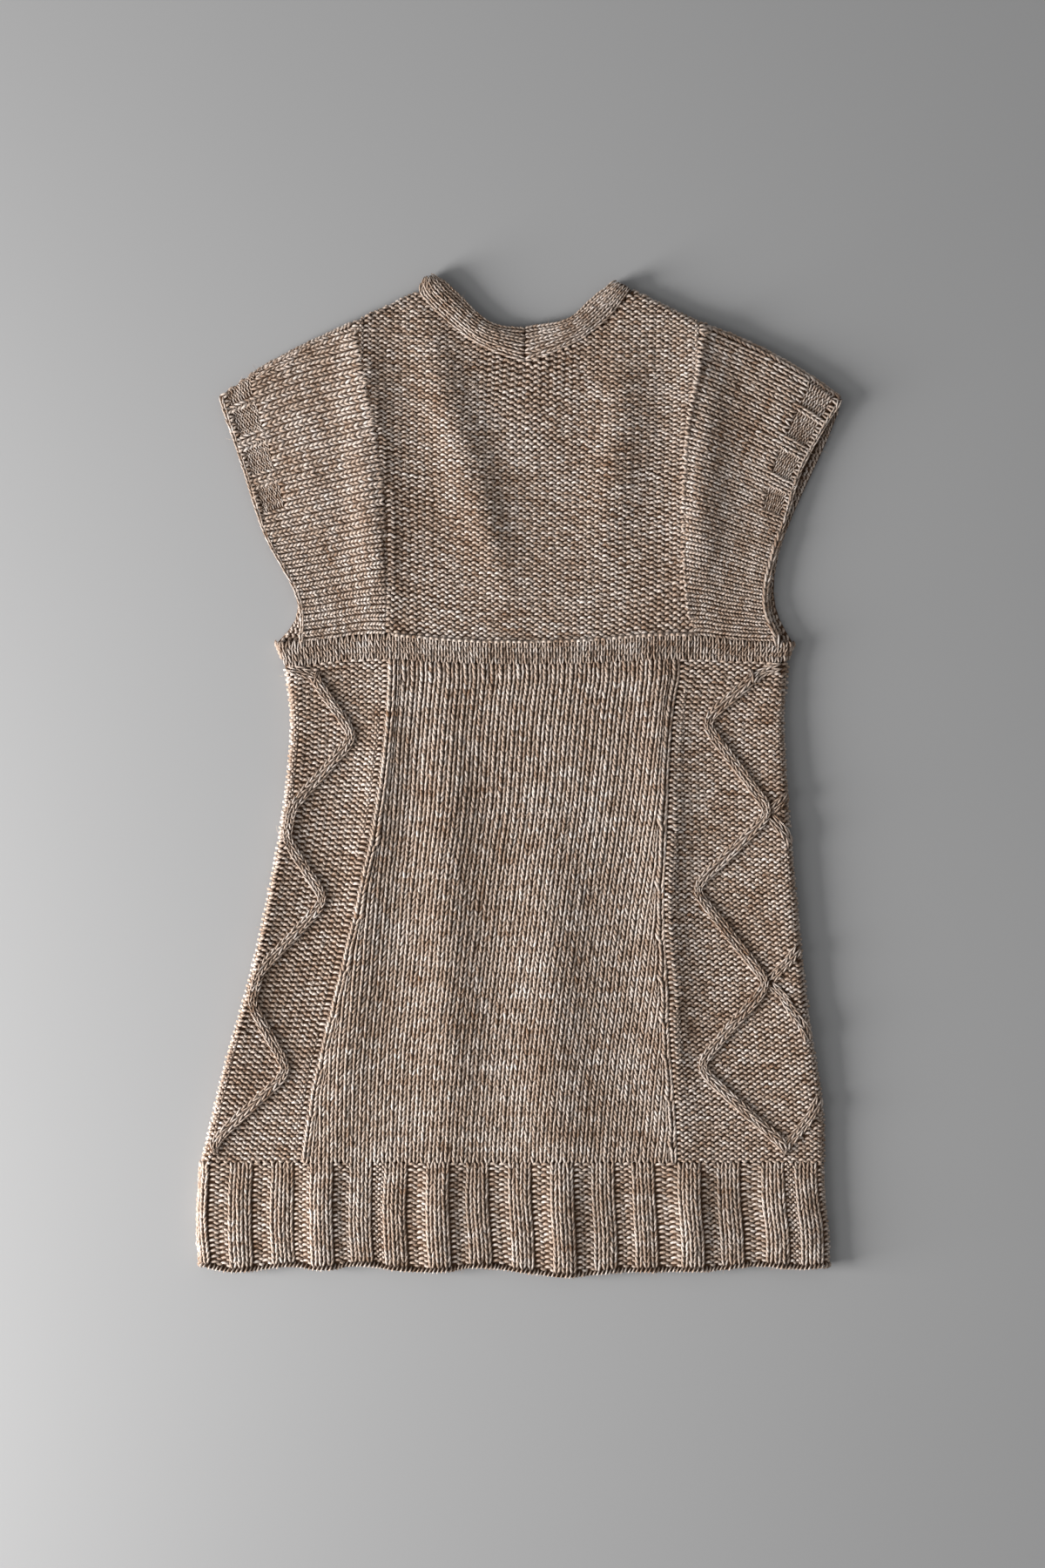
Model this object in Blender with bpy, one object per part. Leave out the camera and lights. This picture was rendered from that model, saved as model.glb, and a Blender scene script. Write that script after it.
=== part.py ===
"""A knitted tunic dress laid out flat on its front, back upwards: +Y to the neck, +Z up.

Two layers of cloth lie on each other. Every piece is a wall of knitting, shaped by a plan in X and Y,
by the height of the upper layer, and by the roll of the cloth over the side and shoulder folds.
All sizes are in millimetres, and become metres when a mesh is made.
"""

from math import cos, exp, hypot, pi, sin

import bmesh
import bpy
import numpy as np
from mathutils import Vector
from mathutils.bvhtree import BVHTree

MM = 0.001
WALL = 2.4  # thickness of the knitting
GAP = 0.3  # between pieces at a seam, and between the two layers at the least
LOFT = 1.0  # how far the upper layer floats above the under one
FOLD_RADIUS = 3.7  # the cloth's roll over a fold, in plan
FOLD_RISE = 2.2  # how much higher the upper layer stands beside a fold
FOLD_REACH = 19.0  # and how far in that rise fades
FOLD_STEPS = 4  # facets round a fold

CENTRE = 4.0  # x of the seam at the middle of the back neck
HEM_TOP = -327.0  # y of the row where the hem rib begins
# Where each raised rib of three knit stitches starts, as a share of the way across the hem.
RIB_STARTS = [-0.030, 0.040, 0.107, 0.171, 0.235, 0.291, 0.360, 0.425]
RIB_STARTS += [0.495, 0.563, 0.629, 0.695, 0.770, 0.834, 0.906, 0.961]
RIB_WIDTH = 0.038  # and how wide it is. Two sunken purl stitches fill the space to the next
RIB_FLANK = 0.006
RIB_RISE = 2.6
RIB_FADE = 14.0  # the rib grows out of the skirt over this length
NECK_CROWN = 3.2  # the neckband's roll above the yoke
NECK_SAG = 2.0  # the upper layer sinks where the open front neck leaves nothing under it
SHOULDER_TURN = 12.0  # how far the back yoke reaches over the shoulder onto the front
ARMHOLE_LENGTH = 265.0
FRONT_BAND_LENGTH = 163.0  # the hidden front half of a neckband
CABLE_WIDTH = 10.5
CABLE_RISE = 2.6
CABLE_FOOT = 1.4  # a cable rests on the highest point of the panel within this reach
CABLE_EDGE = 0.7  # a cable's thickness at its sides
CABLE_MARGIN = 8.0
CABLE_KNEE = 6.0  # a cable's turns are rounded over this length each way

YARN = (0.290, 0.221, 0.170, 1.0)  # heathered beige brown, linear
YARN_ROUGHNESS = 0.92


def table(columns, *rows):
    """Columns by name, each a list with a value for each row. The first column is the one looked up."""
    return dict(zip(columns.split(), map(list, zip(*rows))))


# The skirt from hem to band: where its side folds and the seams of its centre panel lie.
SKIRT = table(
    "y left_fold left_seam right_seam right_fold",
    (-327, -270.2, -186.2, 133.6, 256.0),
    (-280, -259.0, -180.0, 131.5, 255.5),
    (-228, -246.8, -168.6, 127.4, 246.8),
    (-176, -231.5, -155.4, 125.3, 239.8),
    (-128, -220.5, -143.4, 122.8, 235.0),
    (-80, -210.5, -133.6, 123.0, 230.5),
    (-30, -201.6, -123.0, 125.4, 226.0),
    (15, -196.4, -117.4, 127.4, 223.4),
    (58, -193.2, -113.6, 130.4, 221.4),
    (97, -199.4, -111.4, 138.6, 225.6),
)
HEM_SIDES = table(
    "y left_fold right_fold",
    (-425, -270.0, 260.5),
    (-413, -272.4, 262.0),
    (-398, -273.3, 261.6),
    (-376, -273.0, 258.6),
    (-350, -272.2, 256.6),
    (-327, -270.2, 256.0),
)
HEM_EDGE = table(
    "x y",
    (-274, -411.5),
    (-262, -417.5),
    (-228, -419.0),
    (-194, -414.5),
    (-168, -418.5),
    (-138, -414.2),
    (-100, -419.2),
    (-62, -419.2),
    (-41, -415.8),
    (0, -420.0),
    (38, -424.4),
    (80, -420.4),
    (130, -419.4),
    (170, -418.2),
    (200, -414.6),
    (236, -417.2),
    (252, -416.5),
    (263, -411.0),
)
BAND_EDGES = table(
    "x top bottom",
    (-208, 113.6, 88.0),
    (-190, 113.8, 92.5),
    (-160, 117.0, 98.0),
    (-118, 121.0, 100.0),
    (-60, 116.2, 96.6),
    (0, 114.5, 95.6),
    (60, 116.0, 96.8),
    (142, 121.0, 99.8),
    (180, 115.8, 98.2),
    (232, 113.4, 96.0),
)
BAND_SIDES = table(
    "y left_fold right_fold",
    (86, -198.2, 224.4),
    (96, -199.4, 226.0),
    (104, -201.6, 227.6),
    (114, -206.8, 231.8),
)
# The armhole seams climb from the band (share 0) to the shoulder fold (share 1).
ARMHOLES = table(
    "share left_x left_y right_x right_y",
    (0.00, -114.2, 121.0, 147.0, 120.6),
    (0.09, -112.3, 145.0, 141.6, 144.5),
    (0.20, -113.4, 173.0, 139.9, 173.0),
    (0.36, -116.0, 215.0, 139.2, 214.0),
    (0.54, -119.2, 262.0, 139.5, 261.0),
    (0.70, -126.0, 304.0, 142.9, 303.0),
    (0.85, -133.6, 343.0, 150.4, 341.0),
    (1.00, -140.0, 381.2, 154.2, 379.2),
)
# The open cuff edges, from the band to the shoulder: the front layer's edge shows beside the back's.
CUFFS = table(
    "share left_x left_y left_front right_x right_y right_front",
    (0.00, -186.6, 114.0, -206.6, 220.8, 114.2, 231.6),
    (0.05, -183.6, 124.4, -198.4, 214.6, 124.4, 227.6),
    (0.10, -184.6, 134.8, -185.6, 209.4, 134.6, 217.6),
    (0.18, -188.4, 151.5, -187.0, 207.8, 151.0, 213.8),
    (0.28, -198.4, 172.5, -196.8, 211.4, 171.4, 214.6),
    (0.40, -213.4, 197.5, -211.6, 217.0, 195.8, 219.6),
    (0.52, -223.4, 222.5, -221.6, 226.0, 220.3, 230.0),
    (0.66, -231.8, 251.6, -230.0, 233.6, 248.8, 243.4),
    (0.80, -241.6, 280.8, -240.0, 247.8, 277.4, 257.0),
    (0.92, -250.0, 305.8, -249.0, 261.8, 301.8, 267.6),
    (1.00, -253.8, 319.6, -253.8, 271.7, 316.4, 271.7),
)
SHOULDER_BOW = {"left": 4.2, "right": 7.4}  # how far the sleeve's fold bows up from a straight line
SHOULDER_NORMAL = {"left": (-0.46, 0.888), "right": (0.46, 0.888)}
# The neckband from the centre back seam (share 0) to the shoulder tips (share 1), lower and upper edge.
NECKBAND = {
    "left": table(
        "share lower_x lower_y upper_x upper_y",
        (0.00, 4.0, 349.8, 4.0, 380.8),
        (0.16, -11.8, 354.6, -9.0, 381.4),
        (0.32, -28.0, 360.4, -21.6, 383.2),
        (0.48, -43.4, 369.0, -33.0, 389.6),
        (0.64, -58.2, 381.4, -43.6, 399.4),
        (0.82, -73.4, 394.2, -53.6, 410.2),
        (1.00, -85.0, 407.4, -60.8, 416.6),
    ),
    "right": table(
        "share lower_x lower_y upper_x upper_y",
        (0.00, 4.0, 349.8, 4.0, 380.8),
        (0.16, 20.0, 354.8, 17.0, 382.8),
        (0.32, 34.6, 360.8, 30.0, 384.6),
        (0.48, 51.0, 368.6, 42.8, 388.0),
        (0.64, 65.0, 379.4, 52.4, 397.0),
        (0.82, 78.6, 389.6, 63.0, 407.6),
        (1.00, 92.4, 409.4, 73.0, 414.4),
    ),
}
TIP_BULGE = {"left": 10.3, "right": 3.8}
FRONT_NECK = table("edge y", (0, 269.0), (1, 319.0))  # the hidden front band at the centre: lower, upper

# Soft waves of the upper layer: from one end to the other, half width, and height.
WAVES = (
    ((-138, 384), (-121, 140), 10.0, 6.2),
    ((-81, 372), (-16, 168), 9.5, 7.4),
    ((88, 350), (72, 205), 12.0, 4.4),
    ((156, 388), (150, 160), 10.0, 6.4),
    ((-178, 310), (-172, 205), 13.0, 1.8),
    ((234, 335), (216, 235), 14.0, 2.8),
    ((-216, 66), (-250, -300), 24.0, 3.2),
    ((-103, 96), (-161, -318), 9.5, 4.4),
    ((-64, 66), (-62, -322), 13.0, 5.2),
    ((24, -50), (27, -330), 17.0, 5.2),
    ((116, 98), (126, -322), 8.5, 5.8),
    ((232, 66), (246, -300), 30.0, 3.8),
    ((-169, -335), (-169, -424), 9.0, 4.8),
    ((-106, -340), (-106, -424), 8.0, 1.6),
    ((-70, -335), (-70, -424), 9.0, 5.2),
    ((36, -338), (37, -426), 10.0, 4.6),
    ((145, -332), (147, -424), 9.5, 4.8),
    ((226, -340), (230, -416), 13.0, 3.0),
)
# The travelling cables: where the middle of each would turn, down its side panel, before rounding.
CABLES = {
    "left": table(
        "y x",
        (-317, -268.0),
        (-250, -196.3),
        (-179, -235.0),
        (-105, -164.6),
        (-40, -206.0),
        (34, -140.2),
        (86, -176.5),
    ),
    "right": table(
        "y x",
        (-317, 229.0),
        (-245.5, 149.5),
        (-175.5, 210.5),
        (-95, 145.8),
        (-31, 213.0),
        (46.5, 154.8),
        (86, 201.5),
    ),
}


def read(columns, name, position):
    """The named column at a position in the table's first column, on a smooth curve through its rows."""
    keys = next(iter(columns.values()))
    values = columns[name]
    slopes = np.gradient(values, keys)
    i = min(max(int(np.searchsorted(keys, position)) - 1, 0), len(keys) - 2)
    width = keys[i + 1] - keys[i]
    t = min(max((position - keys[i]) / width, 0.0), 1.0)
    return (
        (1 + 2 * t) * (1 - t) ** 2 * values[i]
        + t * (1 - t) ** 2 * width * slopes[i]
        + t * t * (3 - 2 * t) * values[i + 1]
        + t * t * (t - 1) * width * slopes[i + 1]
    )


def mix(a, b, t):
    """The point between two plan points, or the value between two numbers."""
    if isinstance(a, tuple):
        return tuple(p + (q - p) * t for p, q in zip(a, b))
    return a + (b - a) * t


def smoothstep(t):
    t = min(max(t, 0.0), 1.0)
    return t * t * (3 - 2 * t)


def steps(count):
    """Shares from 0 to 1."""
    return [i / count for i in range(count + 1)]


def from_line(point, start, end):
    """(share along the line, distance to its right, distance past either end)."""
    ax, ay = end[0] - start[0], end[1] - start[1]
    length = hypot(ax, ay)
    px, py = point[0] - start[0], point[1] - start[1]
    along = (px * ax + py * ay) / length
    right = (py * ax - px * ay) / length * (1 if ay < 0 else -1)
    return along / length, right, max(0.0, -along, along - length)


def shoulder_end(side, end):
    """Where the roll over a shoulder starts: at the armhole, or at the cuff."""
    columns = ARMHOLES if end == "armhole" else CUFFS
    return columns[side + "_x"][-1], columns[side + "_y"][-1]


def fold_lines():
    """The lines inside which the upper layer stands higher: the sides and the shoulders."""
    lines = []
    for side in ("left", "right"):
        fold = list(zip(SKIRT[side + "_fold"], SKIRT["y"]))
        hem = (HEM_SIDES[side + "_fold"][0], HEM_SIDES["y"][0])
        neck = (NECKBAND[side]["lower_x"][-1], NECKBAND[side]["lower_y"][-1])
        arm, cuff = shoulder_end(side, "armhole"), shoulder_end(side, "cuff")
        middle = mix(arm, cuff, 0.5)
        bowed = (middle[0], middle[1] + SHOULDER_BOW[side])
        path = [hem] + fold
        shoulder = [neck, arm, bowed, cuff]
        lines += list(zip(path, path[1:])) + list(zip(shoulder, shoulder[1:]))
    return lines


FOLD_LINES = fold_lines()


def fold_distance(x, y):
    return min(hypot(*from_line((x, y), start, end)[1:]) for start, end in FOLD_LINES)


def neck_depth(x, y):
    """How far a point lies inside the open front neckline."""
    depths = []
    for side in ("left", "right"):
        top = (NECKBAND[side]["upper_x"][-1], NECKBAND[side]["upper_y"][-1])
        outward = -1 if side == "left" else 1
        depths.append(-outward * from_line((x, y), top, (CENTRE, FRONT_NECK["y"][1]))[1])
    return min(depths)


def wave_height(x, y):
    height = 0.0
    for start, end, half_width, rise in WAVES:
        share, right, past = from_line((x, y), start, end)
        spread = 2 * half_width
        bell = exp(-((right / half_width) ** 2) / 2 - (past / spread) ** 2)
        taper = 0.35 + 0.65 * smoothstep(4 * min(share, 1 - share))
        height += rise * taper * bell
    return height


def upper_height(x, y):
    """Height of the upper layer's outer face, which is the back of the dress."""
    lowest = 2 * WALL + GAP
    rise = FOLD_RISE * exp(-max(fold_distance(x, y) - FOLD_RADIUS, 0.0) / FOLD_REACH)
    height = max(lowest + LOFT + rise + wave_height(x, y), lowest)
    return height - NECK_SAG * smoothstep((neck_depth(x, y) - 10.0) / 16.0)


def upper(point, lift=0.0):
    """(outer, inner) of the upper layer over a plan point."""
    x, y = point
    height = upper_height(x, y) + lift
    return (x, y, height), (x, y, height - WALL)


def under(point):
    """(outer, inner) of the under layer, which lies flat on the ground."""
    x, y = point
    return (x, y, 0.0), (x, y, WALL)


def rolled(start, normal, height, turn):
    """(outer, inner) on the roll over a fold: turn 0 is on the upper layer, 1 on the under one."""
    angle = pi * turn
    middle = height / 2
    faces = []
    for inset in (0.0, WALL):
        reach = (FOLD_RADIUS - inset) * sin(angle)
        level = middle + (middle - inset) * cos(angle)
        faces.append((start[0] + normal[0] * reach, start[1] + normal[1] * reach, level))
    return tuple(faces)


def roll_rows(starts, normal, lifts=None):
    """Rows of sites between the upper layer and the under one, over the fold that starts at these points."""
    lifts = lifts or [0.0] * len(starts)
    rows = []
    for step in range(1, FOLD_STEPS):
        row = []
        for start, lift in zip(starts, lifts):
            height = upper_height(*start) + lift
            row.append(rolled(start, normal, height, step / FOLD_STEPS))
        rows.append(row)
    return rows


def fresh_scene():
    for obj in list(bpy.data.objects):
        bpy.data.objects.remove(obj)
    dress = bpy.data.collections.new("knit_dress")
    bpy.context.scene.collection.children.link(dress)
    return dress


DRESS = fresh_scene()


def knit_material(name, shade):
    material = bpy.data.materials.new(name)
    material.use_nodes = True
    bsdf = material.node_tree.nodes["Principled BSDF"]
    bsdf.inputs["Base Color"].default_value = tuple(c * shade for c in YARN[:3]) + (1.0,)
    bsdf.inputs["Roughness"].default_value = YARN_ROUGHNESS
    bsdf.inputs["Metallic"].default_value = 0.0
    return material


def cloth(name, patches, shade=1.0):
    """A named wall of knitting from patches of sites, each a grid of (outer, inner) points.

    The outer faces are laid out, joined where patches meet, and extruded to the inner ones.
    """
    mesh = bmesh.new()
    inner_at = mesh.verts.layers.float_vector.new("inner")
    for patch in patches:
        columns = len(patch[0])
        grid = bmesh.ops.create_grid(mesh, x_segments=columns - 1, y_segments=len(patch) - 1, size=1)
        for i, vert in enumerate(grid["verts"]):
            outer, inner = patch[i // columns][i % columns]
            vert.co = Vector(outer) * MM
            vert[inner_at] = Vector(inner) * MM
    bmesh.ops.remove_doubles(mesh, verts=mesh.verts[:], dist=0.00001)
    wall = bmesh.ops.extrude_face_region(mesh, geom=mesh.faces[:], use_keep_orig=True)
    for vert in wall["geom"]:
        if isinstance(vert, bmesh.types.BMVert):
            vert.co = vert[inner_at]
    bmesh.ops.recalc_face_normals(mesh, faces=mesh.faces[:])
    data = bpy.data.meshes.new(name)
    mesh.to_mesh(data)
    mesh.free()
    data.shade_smooth()
    data.set_sharp_from_angle(angle=0.7)
    data.materials.append(knit_material(name, shade))
    obj = bpy.data.objects.new(name, data)
    DRESS.objects.link(obj)
    return obj


# --- Skirt -------------------------------------------------------------------------------------

SKIRT_ROWS = 16


def skirt_y(x, share):
    """From the hem rib to the band, at a place across the skirt."""
    return mix(HEM_TOP + GAP / 2, read(BAND_EDGES, "bottom", x) - GAP / 2, share)


def skirt_x(edge, share, inset):
    """A seam or fold of the skirt at a share of its height, moved across by an inset."""
    y = mix(HEM_TOP, SKIRT["y"][-1], share)
    return read(SKIRT, edge, y) + inset


def centre_point(across, share):
    x = mix(skirt_x("left_seam", share, GAP / 2), skirt_x("right_seam", share, -GAP / 2), across)
    return x, skirt_y(x, share)


def skirt_panels():
    columns = {"back": 22, "front": 5}
    layers = {"back": upper, "front": under}
    for layer, count in columns.items():
        sites = [
            [layers[layer](centre_point(across, share)) for across in steps(count)]
            for share in steps(SKIRT_ROWS)
        ]
        cloth("skirt_" + layer + "_panel", [sites])


def side_panel(side):
    """A gore from the back panel's seam, round the side fold, to the front panel's seam."""
    outward = -1 if side == "left" else 1
    normal = (outward, 0.0)

    def plan(across, share):
        seam = skirt_x(side + "_seam", share, outward * GAP / 2)
        fold = skirt_x(side + "_fold", share, -outward * FOLD_RADIUS)
        x = mix(seam, fold, across)
        return x, skirt_y(x, share)

    shares = steps(SKIRT_ROWS)
    back = [[upper(plan(across, share)) for share in shares] for across in steps(6)]
    starts = [plan(1.0, share) for share in shares]
    front = [[under(plan(1 - across, share)) for share in shares] for across in steps(2)]
    return cloth("side_panel_" + side, [back + roll_rows(starts, normal) + front], 0.97)


def resting_height(surface, x, y):
    """The highest point of a surface just round a plan point, in millimetres."""
    heights = []
    for dx, dy in ((0, 0), (1, 1), (-1, 1), (-1, -1), (1, -1)):
        above = Vector((x + dx * CABLE_FOOT, y + dy * CABLE_FOOT, 50.0)) * MM
        hit = surface.ray_cast(above, Vector((0, 0, -1)))[0]
        if hit:
            heights.append(hit.z / MM)
    return max(heights)


def cable(side, panel):
    """The raised rope of knit stitches that travels down a side panel, made from the panel's own surface."""
    surface = BVHTree.FromPolygons(
        [vert.co.copy() for vert in panel.data.vertices],
        [polygon.vertices[:] for polygon in panel.data.polygons],
    )
    route = CABLES[side]
    low, high = route["y"][0], route["y"][-1]
    outward = -1 if side == "left" else 1

    def middle(share):
        y = mix(low, high, share)
        fold = read(SKIRT, side + "_fold", y)
        nearby = y + np.linspace(-CABLE_KNEE, CABLE_KNEE, 13)
        x = np.interp(nearby, route["y"], route["x"]).mean()
        edge = fold - outward * CABLE_MARGIN
        return (max(x, edge) if side == "left" else min(x, edge)), y

    sites = []
    for share in steps(54):
        x, y = middle(share)
        before, after = middle(max(share - 0.006, 0.0)), middle(min(share + 0.006, 1.0))
        ax, ay = after[0] - before[0], after[1] - before[1]
        length = hypot(ax, ay)
        row = []
        for across in steps(3):
            reach = (across - 0.5) * CABLE_WIDTH
            px, py = x + ay / length * reach, y - ax / length * reach
            floor = resting_height(surface, px, py) + GAP
            crown = CABLE_EDGE + (CABLE_RISE - CABLE_EDGE) * sin(pi * across)
            row.append(((px, py, floor + crown), (px, py, floor)))
        sites.append(row)
    cloth("cable_" + side, [sites], 1.06)


# --- Rings: the band under the bust and the hem rib ---------------------------------------------


def ring(name, sides, edges, columns, front_count, rows, lift, shade):
    """A flattened ring of cloth: the back from left to right, the right fold, the front, the left fold.

    edges gives the y of its top and its bottom at a place across.
    """
    around = []

    def plan(across, share):
        guess = mix(edges(0.0, "bottom"), edges(0.0, "top"), share)
        left = read(sides, "left_fold", guess) + FOLD_RADIUS
        right = read(sides, "right_fold", guess) - FOLD_RADIUS
        x = mix(left, right, across)
        return x, mix(edges(x, "bottom"), edges(x, "top"), share)

    shares = steps(rows)
    for across in columns:
        points = [plan(across, share) for share in shares]
        around.append([upper(point, lift(*point)) for point in points])
    around += roll_rows([plan(1.0, share) for share in shares], (1, 0))
    fronts = steps(front_count)[::-1]
    around += [[under(plan(across, share)) for share in shares] for across in fronts]
    around += roll_rows([plan(0.0, share) for share in shares], (-1, 0))[::-1]
    around.append(around[0])
    return cloth(name, [around], shade)


def band_edge(x, edge):
    return read(BAND_EDGES, edge, x) + (GAP / 2 if edge == "bottom" else -GAP / 2)


def hem_edge(x, edge):
    return HEM_TOP - GAP / 2 if edge == "top" else read(HEM_EDGE, "y", x)


def rib_columns():
    """Four columns a rib: the foot and the top of each of its flanks."""
    columns = [0.0]
    for start in RIB_STARTS:
        end = start + RIB_WIDTH
        for share in (start, start + RIB_FLANK, end - RIB_FLANK, end):
            if 0.0 < share < 1.0:
                columns.append(share)
    return columns + [1.0]


def rib_lift(x, y):
    left = read(HEM_SIDES, "left_fold", y) + FOLD_RADIUS
    right = read(HEM_SIDES, "right_fold", y) - FOLD_RADIUS
    share = (x - left) / (right - left)
    inside = max(min(share - start, start + RIB_WIDTH - share) for start in RIB_STARTS)
    ends = smoothstep((x - left) / 6.0) * smoothstep((right - x) / 6.0)
    return RIB_RISE * smoothstep(inside / RIB_FLANK) * ends * smoothstep((HEM_TOP - y) / RIB_FADE)


# --- Yokes, sleeves and neckbands ---------------------------------------------------------------

ARM_ROWS = 12
FRONT_TOP = 1 - SHOULDER_TURN / ARMHOLE_LENGTH  # the front yoke's share of the armhole
FRONT_NECK_TOP = 1 - SHOULDER_TURN / FRONT_BAND_LENGTH
FRONT_SHARES = ARMHOLES["share"][:-1] + [FRONT_TOP]
NECK_STEPS = 8
SHOULDER_STEPS = 3


def armhole(side, share, inset=0.0):
    return read(ARMHOLES, side + "_x", share) + inset, read(ARMHOLES, side + "_y", share)


def band_top(x):
    return read(BAND_EDGES, "top", x) + GAP / 2


def sleeve(side):
    """A cap sleeve: its back half, the roll over the shoulder and its front half, open at the cuff."""
    outward = -1 if side == "left" else 1

    def plan(layer):
        def at(out, share):
            arm = armhole(side, share, outward * GAP / 2)
            column = side + ("_x" if layer == "back" else "_front")
            cuff = (read(CUFFS, column, share), read(CUFFS, side + "_y", share))
            x, y = mix(arm, cuff, out)
            y += SHOULDER_BOW[side] * sin(pi * out) * share**2
            seam = smoothstep(1 - share / 0.09)
            return x, mix(y, band_top(x), seam)

        return at

    back, front = plan("back"), plan("front")
    outs = steps(8)
    rows = [[upper(back(out, share)) for out in outs] for share in steps(ARM_ROWS)]
    starts = [back(out, 1.0) for out in outs]
    rows += roll_rows(starts, SHOULDER_NORMAL[side])
    rows += [[under(front(out, share)) for out in outs] for share in [1.0] + FRONT_SHARES[::-1]]
    return cloth("sleeve_" + side, [rows], 1.03)


def neck_edge(side, edge, share):
    rows = NECKBAND[side]
    return read(rows, edge + "_x", share), read(rows, edge + "_y", share)


def front_band(side, across, share):
    """The hidden front half of a neckband: straight from the shoulder tip (share 1) to the centre front."""
    outward = -1 if side == "left" else 1
    foot = (CENTRE + outward * GAP / 2, mix(FRONT_NECK["y"][0], FRONT_NECK["y"][1], across))
    return mix(foot, neckband_plan(side, across, 1.0), share)


def neckband_plan(side, across, share):
    """The back half: across 0 is the seam on the yoke, 1 the free edge; share 0 is the centre back."""
    outward = -1 if side == "left" else 1
    point = mix(neck_edge(side, "lower", share), neck_edge(side, "upper", share), across)
    normal = SHOULDER_NORMAL[side]
    bulge = TIP_BULGE[side] * sin(pi * across) * smoothstep((share - 0.7) / 0.3)
    seam = outward * GAP / 2 * (1 - share)
    return point[0] + normal[0] * bulge + seam, point[1] + normal[1] * bulge


def neckband(side):
    acrosses = steps(4)
    lifts = [NECK_CROWN * sin(pi * across) for across in acrosses]

    def back_row(share):
        return [
            upper(neckband_plan(side, across, share), lift)
            for across, lift in zip(acrosses, lifts)
        ]

    rows = [back_row(share) for share in steps(NECK_STEPS)]
    starts = [neckband_plan(side, across, 1.0) for across in acrosses]
    rows += roll_rows(starts, SHOULDER_NORMAL[side], lifts)
    rows += [[under(front_band(side, across, 1 - share)) for across in acrosses] for share in steps(3)]
    return cloth("neckband_" + side, [rows], 1.05)


def toward(point, target, distance):
    """A point moved a distance towards a target."""
    dx, dy = target[0] - point[0], target[1] - point[1]
    length = hypot(dx, dy)
    return point[0] + dx / length * distance, point[1] + dy / length * distance


def below_neckband(side, layer, share):
    """The yoke's edge under a neckband, a seam's gap away from it, from the centre to the shoulder."""
    if layer == "back":
        lower, upper_edge = neck_edge(side, "lower", share), neck_edge(side, "upper", share)
    else:
        lower, upper_edge = front_band(side, 0.0, share), front_band(side, 1.0, share)
    return toward(lower, upper_edge, -GAP * 1.25)


def shoulder_line(side, layer, share):
    """The yoke's shoulder edge, from the armhole to the neckband: at the roll, or at the front seam."""
    outward = -1 if side == "left" else 1
    arm = armhole(side, 1.0, -outward * GAP / 2)
    neck = below_neckband(side, "back", 1.0)
    if layer == "back":
        return mix(arm, neck, share)
    arm_below = armhole(side, FRONT_TOP, -outward * GAP / 2)
    return mix(arm_below, below_neckband(side, "front", FRONT_NECK_TOP), share)


def yoke_top(layer):
    """The yoke's upper edge from the left armhole to the right one."""
    left = [shoulder_line("left", layer, share) for share in steps(SHOULDER_STEPS)]
    right = [shoulder_line("right", layer, share) for share in steps(SHOULDER_STEPS)]
    start = 1.0 if layer == "back" else FRONT_NECK_TOP
    necks = {
        side: [below_neckband(side, layer, start * share) for share in steps(NECK_STEPS)]
        for side in ("left", "right")
    }
    point = GAP if layer == "front" else 0.0  # the V's point needs more room than its sides
    foot = (CENTRE, below_neckband("left", layer, 0.0)[1] - point)
    return left + necks["left"][:0:-1][1:] + [foot] + necks["right"][1:-1] + right[::-1]


def yoke_plan(layer, shares):
    """Rows of plan points from the band to the yoke's upper edge, between the two armhole seams."""
    top = yoke_top(layer)
    count = len(top) - 1
    feet = (armhole("left", 0.0, GAP / 2)[0], armhole("right", 0.0, -GAP / 2)[0])
    rows = []
    for share in shares:
        level = share / shares[-1]
        seams = (armhole("left", share, GAP / 2)[0], armhole("right", share, -GAP / 2)[0])
        straight = (mix(feet[0], top[0][0], level), mix(feet[1], top[-1][0], level))
        row = []
        for i, end in enumerate(top):
            across = i / count
            foot = mix(feet[0], feet[1], across)
            x, y = mix((foot, band_top(foot)), end, level)
            row.append((x + mix(seams[0] - straight[0], seams[1] - straight[1], across), y))
        rows.append(row)
    return rows


def shoulder_turn(side):
    """The strip of the back yoke that rolls over a shoulder, down to its seam on the front."""
    shares = steps(SHOULDER_STEPS)
    starts = [shoulder_line(side, "back", share) for share in shares]
    ends = [shoulder_line(side, "front", share) for share in shares]
    ends = [toward(end, start, GAP / 2) for start, end in zip(starts, ends)]
    rows = [[upper(start) for start in starts]]
    rows += roll_rows(starts, SHOULDER_NORMAL[side])
    rows += [[under(start) for start in starts], [under(end) for end in ends]]
    return rows


def yokes():
    back = [[upper(point) for point in row] for row in yoke_plan("back", steps(ARM_ROWS))]
    cloth("back_yoke", [back, shoulder_turn("left"), shoulder_turn("right")], 0.98)
    front = [[under(point) for point in row] for row in yoke_plan("front", FRONT_SHARES)]
    cloth("front_yoke", [front], 0.98)


def build_dress():
    skirt_panels()
    for side in ("left", "right"):
        panel = side_panel(side)
        cable(side, panel)
        sleeve(side)
        neckband(side)
    yokes()
    ring("underbust_band", BAND_SIDES, band_edge, steps(24), 24, 2, lambda x, y: 0.0, 0.95)
    ring("hem_rib", HEM_SIDES, hem_edge, rib_columns(), 16, 4, rib_lift, 1.0)


build_dress()
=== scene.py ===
"""A hand-knitted tunic dress laid out flat on its front, back upwards: the looks.

Every panel is a soft wall of cloth on the form of its solid. On the side that shows, each stitch is
made of arcs of yarn laid on that wall. Lengths are in metres, +Y points to the neck and +Z up.
"""

from functools import partial
from math import cos, pi, radians, sin

import bmesh
import bpy
import numpy as np
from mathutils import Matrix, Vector
from mathutils.bvhtree import BVHTree
from numpy.linalg import norm


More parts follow.
